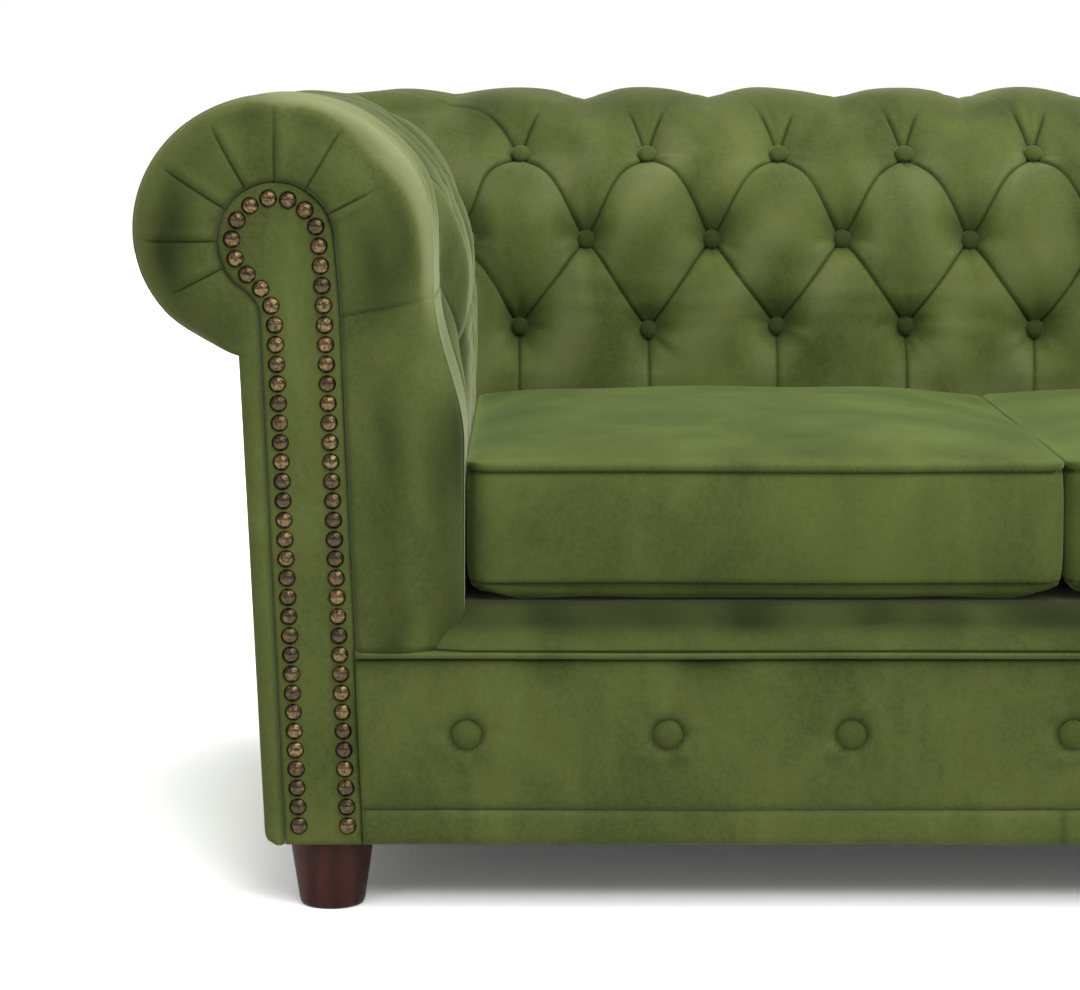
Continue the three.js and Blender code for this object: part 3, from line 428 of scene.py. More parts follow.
def waves(points, scale, seed, count=9):
    """A smooth, seeded, even noise over points: sines in scattered directions, about -1 to 1."""
    source = np.random.default_rng(seed)
    total = np.zeros(len(points))
    for _ in range(count):
        direction = source.normal(size=points.shape[1])
        direction /= np.linalg.norm(direction)
        length = scale * source.uniform(0.6, 1.7)
        phase = source.uniform(0, 2 * math.pi)
        total += np.sin(points @ direction * 2 * math.pi / length + phase)
    return total / math.sqrt(count) * 0.8


def smooth(value, low, high):
    """0 below low, 1 above high and an eased rise between them."""
    share = np.clip((value - low) / (high - low), 0, 1)
    return share * share * (3 - 2 * share)


# The skin of the section, up the seat side, over the shoulder and the roll, to the outer side under it

def bezier(points, count):
    """Points along a Bezier curve."""
    t = np.linspace(0, 1, count)[:, None]
    level = [np.asarray(p, dtype=float) * np.ones_like(t) for p in points]
    while len(level) > 1:
        level = [(1 - t) * a + t * b for a, b in zip(level, level[1:])]
    return level[0]


def roll_point(degrees):
    """A point of the roll's ellipse."""
    angle = np.radians(degrees)
    return np.stack([
        ROLL_CENTRE + ROLL_HALF_WIDTH * np.cos(angle),
        ROLL_CENTRE_Z + ROLL_HALF_HEIGHT * np.sin(angle)], axis=-1)


def section_skin():
    """Points of the skin and the run at each."""
    middle = (PAD_FOOT + SHOULDER_START) / 2
    side = bezier([(PAD_FACE + PAD_FOOT_TUCK, PAD_FOOT), (PAD_FACE, middle), (PAD_FACE, SHOULDER_START)], 400)
    end = roll_point(SHOULDER_END_ANGLE)
    along = roll_point(SHOULDER_END_ANGLE - 0.1) - end
    pulled = end - along / np.linalg.norm(along) * SHOULDER_PULL
    start = (PAD_FACE, SHOULDER_START)
    shoulder = bezier([start, (PAD_FACE, SHOULDER_START + SHOULDER_PULL), pulled, end], 400)
    roll = roll_point(np.linspace(SHOULDER_END_ANGLE, ROLL_END_ANGLE, 900))
    points = np.vstack([side, shoulder[1:], roll[1:]])
    steps = np.linalg.norm(np.diff(points, axis=0), axis=1)
    return points, np.concatenate([[0], np.cumsum(steps)])


skin_points, skin_runs = section_skin()
skin_tangents = np.gradient(skin_points, skin_runs, axis=0)
skin_tangents /= np.linalg.norm(skin_tangents, axis=1)[:, None]
SKIN_LENGTH = skin_runs[-1]
OUTERMOST_RUN = skin_runs[np.argmax(skin_points[:, 0])]


# The stuffing makes the roll fuller on its outer side and flatter underneath, by millimetres at angles round it
ROLL_SHAPE = ((130, 0), (95, -1), (75, -3), (45, -4), (10, -3.5), (-20, -3.5), (-38, -2.5), (-52, 0.5), (-73, 1.2))
roll_start = skin_runs[-900]
ROLL_RUNS = [
    roll_start + (SKIN_LENGTH - roll_start) * (SHOULDER_END_ANGLE - angle) / (SHOULDER_END_ANGLE - ROLL_END_ANGLE)
    for angle, _ in ROLL_SHAPE]
ROLL_SET_IN = [set_in for _, set_in in ROLL_SHAPE]


def skin_at(run):
    """Place and inward direction of the skin at runs: across and Z of each."""
    across, z, tx, tz = (
        np.interp(run, skin_runs, column)
        for column in (*skin_points.T, *skin_tangents.T))
    return across, z, tz, -tx


def waist_depth(run):
    """How far the thinly padded front of an arm stands back from the skin between the seat and the roll."""
    return WAIST_DEPTH * np.sin(np.pi * np.clip((run - WAIST_START_RUN) / WAIST_RUN, 0, 1)) ** 2


def run_of_row(row):
    """The run at which a row lies. Rows 3, 2 and 1 hold buttons and 0 is the roll's crest."""
    low = ROW_RUNS[3] - (row - 3) * (ROW_RUNS[2] - ROW_RUNS[3])
    high = ROW_RUNS[0] - row * (ROW_RUNS[0] - ROW_RUNS[1])
    between_rows = np.interp(row, [0, 1, 2, 3], ROW_RUNS)
    return np.where(row > 3, low, np.where(row < 0, high, between_rows))


def fold_profile(offset, sharp_side, soft_side):
    """Height of a pillow beside a pleat. The side above the pleat laps over it, so it is steeper."""
    power = np.where(offset < 0, sharp_side, soft_side)
    return np.sin(np.pi * np.abs(offset)) ** power


def row_of_run(run):
    """The row at which a run lies, the other way round from run_of_row."""
    low = 3 + (ROW_RUNS[3] - run) / (ROW_RUNS[2] - ROW_RUNS[3])
    high = (ROW_RUNS[0] - run) / (ROW_RUNS[0] - ROW_RUNS[1])
    between_rows = np.interp(run, ROW_RUNS[::-1], (3, 2, 1, 0))
    return np.where(run < ROW_RUNS[3], low, np.where(run > ROW_RUNS[0], high, between_rows))


def tuft_depth(u, row):
    """How deep the buttoning draws the skin in, with u in pitches and row as run_of_row counts it."""
    held = np.clip(row, 0, 3)
    past = np.abs(row - held)
    rising = u + held / 2
    falling = u - held / 2
    rise_offset = rising - np.round(rising)
    fall_offset = falling - np.round(falling)
    pillow = fold_profile(rise_offset, 0.3, 0.42) * fold_profile(-fall_offset, 0.3, 0.42)
    along = np.maximum(np.abs(np.sin(np.pi * rising)), np.abs(np.sin(np.pi * falling)))
    along = np.maximum(along, np.minimum(2 * past, 1))
    # Over the upper row the pleats run out into wide hollows between the scallops of the roll
    above = smooth(1 - row, 0.0, 0.42)
    return BUTTON_DEPTH * (1 - pillow) * (1 - 0.7 * along) * (1 - 0.88 * above)


def crest_hollow(u, row):
    """Depth of the valleys in which the pleats end over the roll."""
    return 8.5 * (1 - np.abs(np.sin(np.pi * u)) ** 0.9) * smooth(1 - row, 0.0, 0.42)


def nearest_button(u, row):
    """Distance in millimetres to the nearest button and the angle round it."""
    run = run_of_row(row)
    best = np.full(u.shape, 1e9)
    angle = np.zeros(u.shape)
    which = np.zeros(u.shape)
    for level, at in enumerate(ROW_RUNS):
        shift = 0.5 * (level % 2)
        column = np.round(u - shift) + shift
        dx, dz = (u - column) * PITCH, run - at
        distance = np.hypot(dx, dz)
        nearer = distance < best
        best = np.where(nearer, distance, best)
        angle = np.where(nearer, np.arctan2(dz, dx), angle)
        which = np.where(nearer, column * 7.3 + level * 3.1, which)
    return best, angle, which


def tufted_surface(u, row, seed, hollow=0):
    """Depth, run and pitch of each point of a tufted skin, with its pleats bent and its cloth creased."""
    flat = np.stack([u * PITCH, row * 90], axis=-1).reshape(-1, 2)
    wander_u = waves(flat, 210, seed).reshape(u.shape) * 0.012
    wander_run = waves(flat, 190, seed + 1).reshape(u.shape) * 2.0
    depth = tuft_depth(u, row) + hollow
    distance, angle, which = nearest_button(u, row)
    tufts = waves(flat, 260, seed + 2).reshape(u.shape)
    depth = depth * (1 + 0.07 * tufts)
    # Round each button the cloth is drawn down a little further and puckers
    upper = np.exp(-(((row - 1) / 0.35) ** 2))
    depth = depth * (1 - 0.2 * upper) + (9 - 4 * upper) * np.exp(-((distance / 21) ** 2))
    pucker = np.sin(angle * 7 + which * 5) + 0.6 * np.sin(angle * 11 + which * 3)
    depth += 0.6 * pucker * np.exp(-(((distance - 23) / 12) ** 2))
    # Fine folds stand over the upper row's buttons
    over = np.exp(-((angle - math.pi / 2) / 0.5) ** 2) * smooth(row, 1.15, 0.95)
    depth += 0.9 * np.sin(angle * 17 + which) * over * np.exp(-(((distance - 34) / 17) ** 2))
    # Soft creases across the pillows
    crease = waves(flat * (0.22, 1), 19, seed + 3).reshape(u.shape)
    gathers = 0.55 + 0.75 * smooth(row, 2.3, 2.9)
    depth += gathers * crease * smooth(tufts, -0.1, 0.9) * smooth(row, 1.6, 2.8)
    depth += 0.9 * waves(flat, 75, seed + 4).reshape(u.shape)
    # The pleats between the upper two rows bow upwards, and those over the roll start steep
    bow = np.sin(np.pi * np.clip(row - 1, 0, 1)) ** 2 * 10
    level = np.clip(1 - row, 0, 1)
    steep = (level ** (1 / 1.3) - level) * (ROW_RUNS[0] - ROW_RUNS[1])
    run = run_of_row(row) + wander_run + bow + steep - 9 * upper
    return depth, run, u + wander_u


def pad_rows(fine):
    """Rows of a pad's mesh: coarse where the cushions hide it, fine over the buttoning, coarse at the rear."""
    foot = 3 + ROW_RUNS[3] / (ROW_RUNS[2] - ROW_RUNS[3])
    hidden = np.linspace(foot, 4.35, 7)[:-1]
    lower = np.linspace(4.35, 3, int(fine * 1.35) + 1)[:-1]
    middle = np.linspace(3, 0, 3 * fine + 1)
    crest_step = ROW_RUNS[0] - ROW_RUNS[1]
    end = (ROW_RUNS[0] - SKIN_LENGTH) / crest_step
    rear = np.linspace(0, end, 40)[1:]
    return np.concatenate([hidden, lower, middle, rear])


def mitred(across):
    """How far out a mitred corner lets a point go, so that the sofa's rear corners are rounded."""
    end = ROLL_CENTRE + ROLL_HALF_WIDTH * math.cos(math.radians(ROLL_END_ANGLE))
    return np.where(across > end, end + (across - end) * CORNER_ROUND_SHARE, across)


def placed_on_skin(depth, run):
    """Across and Z of points at a depth under the skin, and what share of the tufting's depth is left."""
    run = np.clip(run, 0, SKIN_LENGTH)
    fade = 1 - np.clip((run - ROW_RUNS[0]) / (SKIN_LENGTH - ROW_RUNS[0]), 0, 1)
    across, z, inwards_x, inwards_z = skin_at(run)
    sunk = depth * fade
    set_in = sunk + np.interp(run, ROLL_RUNS, ROLL_SET_IN)
    return across + set_in * inwards_x, z + set_in * inwards_z, sunk


def painted_tuft_light(depth, u, row):
    """Painted shade in the pits of the buttons, in the hollows above the lower rows' buttons and along the pleats."""
    held = np.clip(row, 0, 3)
    rising = u + held / 2
    falling = u - held / 2
    nearest = np.minimum(np.abs(rising - np.round(rising)), np.abs(falling - np.round(falling)))
    line = np.exp(-((nearest * 110 / 1.5) ** 2)) * smooth(depth, 2, 8) * smooth(row, 0.2, 0.9)
    distance, angle, _ = nearest_button(u, row)
    over = 0.5 * np.exp(-((distance / 32) ** 2)) * smooth(np.sin(angle), -0.3, 0.8) * smooth(row, 0.9, 1.6)
    dark = np.maximum.reduce([smooth(depth, 11, 28) * 0.72, line * 0.78, over])
    flat = np.stack([u * PITCH, row * 90], axis=-1).reshape(-1, 2)
    # Painted shade over the roll above the upper row, a faint painted sheen below it, and random tone
    painted_light_and_tone = 0.24 * smooth(row, 1.0, 0.6) - 0.06 * smooth(row, 0.9, 1.4)
    painted_light_and_tone = painted_light_and_tone + 0.09 * waves(flat * (1, 0.6), 70, 91).reshape(u.shape)
    return dark + painted_light_and_tone * smooth(depth, 16, 4)


FINE = 24
MITRE_HOLLOW = 0.35


def back_cover():
    """The tufted cover of the back, from mitre to mitre."""
    rows = pad_rows(FINE)
    full = 5.5
    middle = np.linspace(-full, full, int(full * 4) * FINE + 1)
    side = np.linspace(full, 6, FINE + 1)[1:]
    columns = np.concatenate([-side[::-1], middle, side])
    u, row = np.meshgrid(columns, rows)
    reach = mitred(skin_at(run_of_row(row))[0]) + 4
    share = np.clip((np.abs(u) - full) / (6 - full), 0, 1)
    # Past the last full column the valleys keep their pitch, and the mitre has a shallow one of its own
    spread = np.where(share > 0, ((1 - share) * full + share * reach / PITCH), np.abs(u))
    at_mitre = smooth(share, 0.75, 1)
    hollow = crest_hollow(spread, row) * (1 - at_mitre) + MITRE_HOLLOW * crest_hollow(0 * u, row) * at_mitre
    depth, run, pitches = tufted_surface(u, row, seed=11, hollow=hollow)
    # A deeper dimple lies on each mitre where the shoulder turns into the roll
    dimple = np.exp(-(((np.abs(u) - 6) * 68 / 14) ** 2) - ((run_of_row(row) - 500) / 22) ** 2)
    depth = depth + 10 * dimple
    across, z, sunk = placed_on_skin(depth, run)
    # The two covers lap on the mitre, and in its pits as well
    reach = mitred(across) + 4
    inner = np.clip(np.abs(pitches), 0, full) * PITCH
    x = np.sign(u) * ((1 - share) * inner + share * reach)
    corner = mitred(across)
    across = (1 - share) * across + share * corner
    points = np.stack([x, across - BACK_SHIFT, z], axis=-1)
    return piece_from("buttoned_back", points.reshape(-1, 3), pleated_faces(u, row), body_velvet,
                      painted_light=painted_tuft_light(sunk, u, row).ravel())


def facing_edge(set_in, count_straight, count_head):
    """The facing's edge from its inner foot, up round the head and down to its outer foot."""
    radius = HEAD_RADIUS - set_in
    inner = np.linspace((FACING_FOOT[0] + set_in, BASE), (FACING_NECK[0] + set_in, NECK_Z), count_straight)
    leave = math.radians(-45)
    angles = np.linspace(math.pi, leave, count_head)
    head = np.stack([HEAD_ACROSS + radius * np.cos(angles), HEAD_Z + radius * np.sin(angles)], axis=-1)
    neck = np.array([FACING_NECK[1] - set_in, NECK_Z - set_in / 2])
    bend = bezier([head[-1], (neck[0], (neck[1] + head[-1][1]) / 2), neck], 10)[1:]
    foot = np.array([FACING_FOOT[1] - set_in, BASE])
    outer = np.linspace(neck, foot, count_straight)[1:]
    return np.vstack([inner, head, bend, outer])


def even_points(points, spacing):
    """Points evenly spaced along a line."""
    steps = np.linalg.norm(np.diff(points, axis=0), axis=1)
    runs = np.concatenate([[0], np.cumsum(steps)])
    count = max(int(round(runs[-1] / spacing)), 1) + 1
    at = np.linspace(0, runs[-1], count)
    return np.stack([np.interp(at, runs, column) for column in points.T], axis=-1)


# Pleats on the scroll's padded face: degrees round its head, and how far each runs out from the facing
SCROLL_PLEATS = ((-27, 56), (0, 70), (33, 72), (61, 66), (90, 74), (121, 66), (153, 48))

# Soft gathers over the plain front of the arm: Y and depth
GATHERS = ((-395, 1.2), (-362, 1.6), (-318, 1.7), (-276, 1.2))


def scroll_pleats(place, gap):
    """Depth and painted shade of the pleats that radiate from the facing, at points of the face."""
    angle = np.degrees(np.arctan2(place[:, 1] - HEAD_Z, place[:, 0] - HEAD_ACROSS))
    radius = np.linalg.norm(place - (HEAD_ACROSS, HEAD_Z), axis=1)
    depth = np.zeros(len(place))
    dark = np.zeros(len(place))
    for at, length in SCROLL_PLEATS:
        offset = np.radians((angle - at + 180) % 360 - 180) * radius
        held = (1 - smooth(gap, length - 18, length + 2)) * (np.abs(angle - at) < 40)
        crease = np.exp(-np.abs(offset) / 0.9)
        depth += (2.6 * crease - 1.5 * np.exp(-((offset - 6) / 4.5) ** 2)) * held
        dark = np.maximum(dark, np.exp(-((offset / 1.0) ** 2)) * held)
    return depth, dark


def turns_round_head(line):
    """Angles of a line's points round the scroll's head, in degrees, counted down from its inner foot."""
    angles = np.degrees(np.unwrap(np.arctan2(line[:, 1] - HEAD_Z, line[:, 0] - HEAD_ACROSS)))
    return angles + (360 if angles[0] < 0 else 0)


def runs_along(line):
    return np.concatenate([[0], np.cumsum(np.linalg.norm(np.diff(line, axis=0), axis=1))])


def face_targets(outline, pad_count):
    """Where on the facing's edge the padding from each point of the outline ends.

    They pair up by height below the neck and by the angle round the scroll's head above it."""
    edge = facing_edge(-0.6, 120, 160)
    edge_runs, outline_runs = runs_along(edge), runs_along(outline)
    inner_z, outer_z = edge[:120, 1], edge[-119:, 1][::-1]
    pad, cover = outline[:pad_count], outline[pad_count:]
    rising = int(np.argmax(pad[:, 1] >= NECK_Z + 5))
    pairs = [(0, np.interp(PAD_FOOT, inner_z, edge_runs[:120]))]
    for z in (320, 430, NECK_Z):
        pairs.append((np.interp(z, pad[:rising, 1], outline_runs[:rising]), np.interp(z, inner_z, edge_runs[:120])))
    turns, edge_turns = turns_round_head(pad), turns_round_head(edge)
    for angle in (165, 150, 120, 90, 60, 30, 0, -30):
        pairs.append((np.interp(-angle, -turns, outline_runs[:pad_count]), np.interp(-angle, -edge_turns, edge_runs)))
    outer_runs = edge_runs[-119:][::-1]
    for z in (500, 300):
        pairs.append((
            np.interp(-z, -cover[:, 1], outline_runs[pad_count:]), np.interp(z, outer_z, outer_runs)))
    pairs.append((outline_runs[-1], edge_runs[-1]))
    target_runs = np.interp(outline_runs, *zip(*pairs))
    return np.column_stack([np.interp(target_runs, edge_runs, column) for column in edge.T])


def arm_sheet(u, row):
    """Points and painted light of an arm's pad: tufted behind the long pleat and plain in front of it."""
    hollow = crest_hollow(u, row) * (MITRE_HOLLOW + (1 - MITRE_HOLLOW) * smooth(u, 0.05, 0.45))
    depth, run, pitches = tufted_surface(u, row, seed=29, hollow=hollow)
    held = 1 - smooth(u, 2.7, 3.0)
    plain_run = run_of_row(row)
    y = BACK_FACE_Y - u * PITCH
    flat = np.stack([y, plain_run], axis=-1).reshape(-1, 2)
    raised = smooth(plain_run, 250, 400)
    plain = -0.4 - 1.3 * raised + (0.4 + 0.6 * raised) * waves(flat, 160, 41).reshape(u.shape)
    # It closes over the edge of the front board
    over_board = smooth(-y, 375, 402)
    plain = plain * (1 - over_board) - (0.9 + 1.6 * raised) * over_board
    span = smooth(plain_run, 320, 440) * (1 - smooth(plain_run, 620, 760))
    for i, (at, strength) in enumerate(GATHERS):
        offset = y - at - 6 * np.sin(plain_run / 75 + i * 1.9)
        plain = plain + strength * span * (np.exp(-((offset / 3) ** 2)) - 0.7 * np.exp(-((offset - 9) / 7) ** 2))
    seam = np.exp(-np.abs(skin_at(plain_run)[1] - FACE_SEAM_Z - 15) / 1.2) * (plain_run < 450)
    # A long upright pleat closes the tufting off from the smooth front of the arm
    upright = np.exp(-np.abs(u - 3.0) * PITCH / 4) * smooth(row, -0.2, 0.5) * (1 - smooth(row, 3.3, 4.6))
    depth = depth * held + (plain + 1.4 * seam) * (1 - held) + 11 * upright
    depth = depth + waist_depth(plain_run) * smooth(u, 2.5, 3.0)
    dimple = np.exp(-((u * 68 / 14) ** 2) - ((run_of_row(row) - 500) / 22) ** 2)
    depth = depth + 10 * dimple
    run = plain_run * (1 - held) + run * held
    across, z, sunk = placed_on_skin(depth, run)
    mitre_y = mitred(across) + 4 - BACK_SHIFT
    share = np.clip(1 - u * 4, 0, 1)
    y = (1 - share) * (BACK_FACE_Y - pitches * PITCH) + share * mitre_y
    across = (1 - share) * across + share * mitred(across)
    # Painted shade in the tufting's pits and pleats, along the upright pleat and along the seam
    shade = np.maximum(painted_tuft_light(sunk, u, row) * held, 0.7 * upright + 0.6 * seam * (1 - held))
    # Painted light on the plain front, mottled: a painted highlight over the roll and painted shade beside the cushion
    # and the tufts
    mottled = 0.8 + 0.35 * waves(flat * (1, 0.4), 60, 42).reshape(u.shape)
    over_roll = smooth(plain_run, 390, 500) * (1 - smooth(plain_run, 660, 760))
    beside_cushion = 1 - smooth(plain_run, 165, 250)
    beside_tufts = 0.3 * smooth(plain_run, 430, 340)
    painted_light_and_tone = (0.62 * beside_cushion + beside_tufts - 0.55 * over_roll) * mottled * smooth(u, 2.6, 3.05)
    # A little painted shade over the tufted part below the roll's crest, mottled
    painted_light_and_tone = painted_light_and_tone + 0.18 * held * smooth(row, 0, 0.6) * (0.8 + 0.4 * waves(flat, 90, 43).reshape(u.shape))
    shade = np.where(shade > 0.15, shade, shade + painted_light_and_tone)
    return np.stack([across, y, z], axis=-1), shade


def face_painted_light(place, gap, distance):
    """Painted shade on the face: on the scroll's outer side, over its top, high and low on its inner side and in
    streaks by the facing; and a little painted highlight near the rim over the top, as shares of its darkest.
    """
    turn = np.degrees(np.arctan2(place[:, 1] - HEAD_Z, place[:, 0] - HEAD_ACROSS))
    turn = np.where(turn < -110, turn + 360, turn)
    across, z = place.T
    outer = 0.56 * np.exp(-((turn + 2) / 58) ** 2) * (0.6 + 0.4 * np.exp(-((gap - 45) / 35) ** 2))
    outer *= smooth(distance, 6, 30)
    top = 0.6 * np.exp(-((turn - 98) / 36) ** 2) * np.exp(-((gap - 64) / 24) ** 2)
    inner = 0.62 * smooth(across, 905, 872) * smooth(across, 826, 848) * np.exp(-((z - 585) / 60) ** 2)
    streaks = 0.42 * np.exp(-((across - 862) / 20) ** 2) * smooth(z, 520, 440)
    margin = 0.62 * smooth(across, 846, 812) * smooth(z, 495, 440)
    dark = 0.06 + np.maximum.reduce([outer, top, inner, streaks])
    dark *= smooth(distance, 0, 14) * (0.72 + 0.55 * waves(place * (1, 0.5), 55, 79))
    rim = 14 + 12 * np.exp(-((turn - 145) / 30) ** 2)
    pale = 0.52 * smooth(distance, rim + 4, rim - 12) * smooth(turn, 58, 100) * smooth(z, 500, 570)
    return np.maximum(dark, margin * (0.85 + 0.3 * waves(place * (1, 0.3), 40, 80))) - pale


def arm_face(rim_points, pad_count):
    """Rings of the padded face, from the arm's outline over a full round edge to the facing."""
    outline = rim_points[:, (0, 2)]
    targets = face_targets(outline, pad_count)
    band = np.linalg.norm(targets - outline, axis=1)
    inward = (targets - outline) / band[:, None]
    reach = np.minimum(DOME_REACH, band * 0.72)
    depth = 8 + (DOME_DEPTH - 8) * smooth(band, 18, 60)
    rings = [(rim_points, np.zeros(len(outline)))]
    turns = [(reach * (1 - math.cos(a)), depth * (1 - math.sin(a))) for a in np.radians(np.linspace(0, 90, 15))]
    flats = [(reach + (band - reach) * math.sin(a), 0 * band) for a in np.radians(np.linspace(0, 90, 27)[1:])]
    for distance, set_back in turns + flats:
        place = outline + inward * distance[:, None]
        gap = band - distance
        pleat, dark = scroll_pleats(place, gap)
        wide = smooth(band, 24, 46)
        line_z = FACE_SEAM_Z + (903 - place[:, 0]) * 0.19
        seam = np.exp(-np.abs(place[:, 1] - line_z) / 1.1) * (place[:, 0] < 905)
        groove = np.exp(-gap / 1.8)
        belly = 2.5 * np.sin(np.pi * np.clip(gap / np.maximum(band, 1), 0, 1)) * wide
        ripple = waves(place, 34, 77) * 0.3 + waves(place, 95, 78) * 1.2 * wide
        level = smooth(distance / reach, 0.3, 1)
        near_rim = smooth(distance, 6, 24)
        y = SOFA_FRONT + 1.6 + set_back + level * (7 * groove + ripple - belly)
        y = np.minimum(y + near_rim * (pleat * wide + 1.4 * seam), rim_points[:, 1] - 0.2)
        # The lowest part of the padding stands on the welt
        lift = WELT * (1 - smooth(place[:, 1], PAD_FOOT, PAD_FOOT + 60)) * smooth(-y, 424, 437)
        lift *= np.arange(len(outline)) < pad_count
        # Painted shade in the pleats from the facing and in the groove at it, then the face's painted light and a
        # darker seam line
        painted_light = np.maximum(dark * wide * 0.7 * near_rim, 0.8 * groove * level)
        painted_light_and_tone = face_painted_light(place, gap, distance)
        painted_light = np.clip(painted_light + np.where(painted_light_and_tone > 0, painted_light_and_tone * wide, painted_light_and_tone) * (1 - painted_light) + 0.5 * seam * near_rim, -0.9, 0.85)
        rings.append((np.column_stack([place[:, 0], y, place[:, 1] + lift]), painted_light))
    # The ring that turns in behind the facing carries painted shade
    inner = rings[-1][0].copy()
    inner[:, 1] = FACING_FRONT + 8
    rings.append((inner, np.full(len(outline), 0.9)))
    return np.stack([ring for ring, _ in rings], axis=1), np.stack([painted_light for _, painted_light in rings], axis=1)


def refined(rows, step):
    """Rows with more set between them, and where each old one is among the new."""
    fine, kept = [rows[0]], [0]
    for a, b in zip(rows, rows[1:]):
        low = min(float(run_of_row(a)), float(run_of_row(b)))
        length = abs(float(run_of_row(b) - run_of_row(a)))
        count = max(1, round(length / (step if low > 250 else 3 * step)))
        fine += list(a + (b - a) * (np.arange(count) + 1) / count)
        kept.append(len(fine) - 1)
    return np.array(fine), kept


def arm_cover():
    """One arm's cover: tufted from the mitre, smooth in front, and turned over the rim onto the face."""
    rows = pad_rows(FINE)
    u, row = np.meshgrid(np.linspace(0, ARM_PITCHES, ARM_PITCHES * 2 * FINE + 1), rows)
    tufted, tufted_shade = arm_sheet(u, row)
    fine_rows, kept = refined(rows, 1.9)
    front_ys = np.concatenate([np.linspace(-244.4, -420, 74)])
    front_u, front_row = np.meshgrid((BACK_FACE_Y - front_ys) / PITCH, fine_rows)
    front, front_shade = arm_sheet(front_u, front_row)

    # Below the roll the outline goes on down the outer side, with its lowest corner rounded
    top = front[-1, -1]
    heights = np.linspace(top[2], BASE, 130)[1:]
    lean = COVER_LEAN * (top[2] - heights) / (top[2] - BASE)
    corner = 8 * (1 - np.sqrt(1 - np.clip(1 - (heights - BASE) / 12, 0, 1) ** 2))
    cover = np.column_stack([top[0] - lean - corner, np.full(len(heights), FACE_BACK), heights])
    face, face_shade = arm_face(np.vstack([front[:, -1], cover]), len(fine_rows))
    tucked = face[:1].copy()
    tucked[..., 1] = np.maximum(tucked[..., 1], -428)
    face = np.concatenate([tucked, face])
    # The row tucked in at the foot carries painted shade
    face_shade = np.concatenate([face_shade[:1] * 0 + 0.5, face_shade])

    columns = tufted.shape[1]
    front_first = tufted.shape[0] * columns
    face_first = front_first + front.shape[0] * front.shape[1]
    faces = pleated_faces(u, row)
    faces += grid_faces(front.shape[0], front.shape[1], first=front_first)
    faces += grid_faces(face.shape[0], face.shape[1], first=face_first)
    # Triangles join the tufted part's last column to the finer first column of the plain part
    for i in range(len(rows) - 1):
        coarse, coarse_next = (i + 1) * columns - 1, (i + 2) * columns - 1
        for k in range(kept[i], kept[i + 1]):
            a, b = (front_first + j * front.shape[1] for j in (k, k + 1))
            faces.append((coarse, b, a))
        faces.append((coarse, coarse_next, front_first + kept[i + 1] * front.shape[1]))
    points = np.vstack([part.reshape(-1, 3) for part in (tufted, front, face)])
    painted_light_values = np.concatenate([part.ravel() for part in (tufted_shade, front_shade, face_shade)])
    made = piece_from("right_buttoned_arm", points, faces, body_velvet, painted_light=np.clip(painted_light_values, -0.9, 0.9))
    return merged(made)


def covered_button(radius, height):
    """A covered button about the origin, domed along Z."""
    profile = [(0.0, 1.0), (0.35, 0.95), (0.65, 0.78), (0.88, 0.45), (1.0, 0.05), (0.94, -0.35), (0.6, -0.6)]
    sides = 20
    points, faces = [], []
    for r, h in profile:
        if r == 0:
            points.append((0, 0, h * height))
            continue
        for i in range(sides):
            angle = 2 * math.pi * i / sides
            points.append((r * radius * math.cos(angle), r * radius * math.sin(angle), h * height))
    faces += [(0, 1 + i, 1 + (i + 1) % sides) for i in range(sides)]
    for k in range(len(profile) - 2):
        a, b = 1 + k * sides, 1 + (k + 1) * sides
        for i in range(sides):
            j = (i + 1) % sides
            faces.append((a + i, b + i, b + j, a + j))
    last = 1 + (len(profile) - 2) * sides
    faces.append(tuple(last + i for i in reversed(range(sides))))
    return points, faces


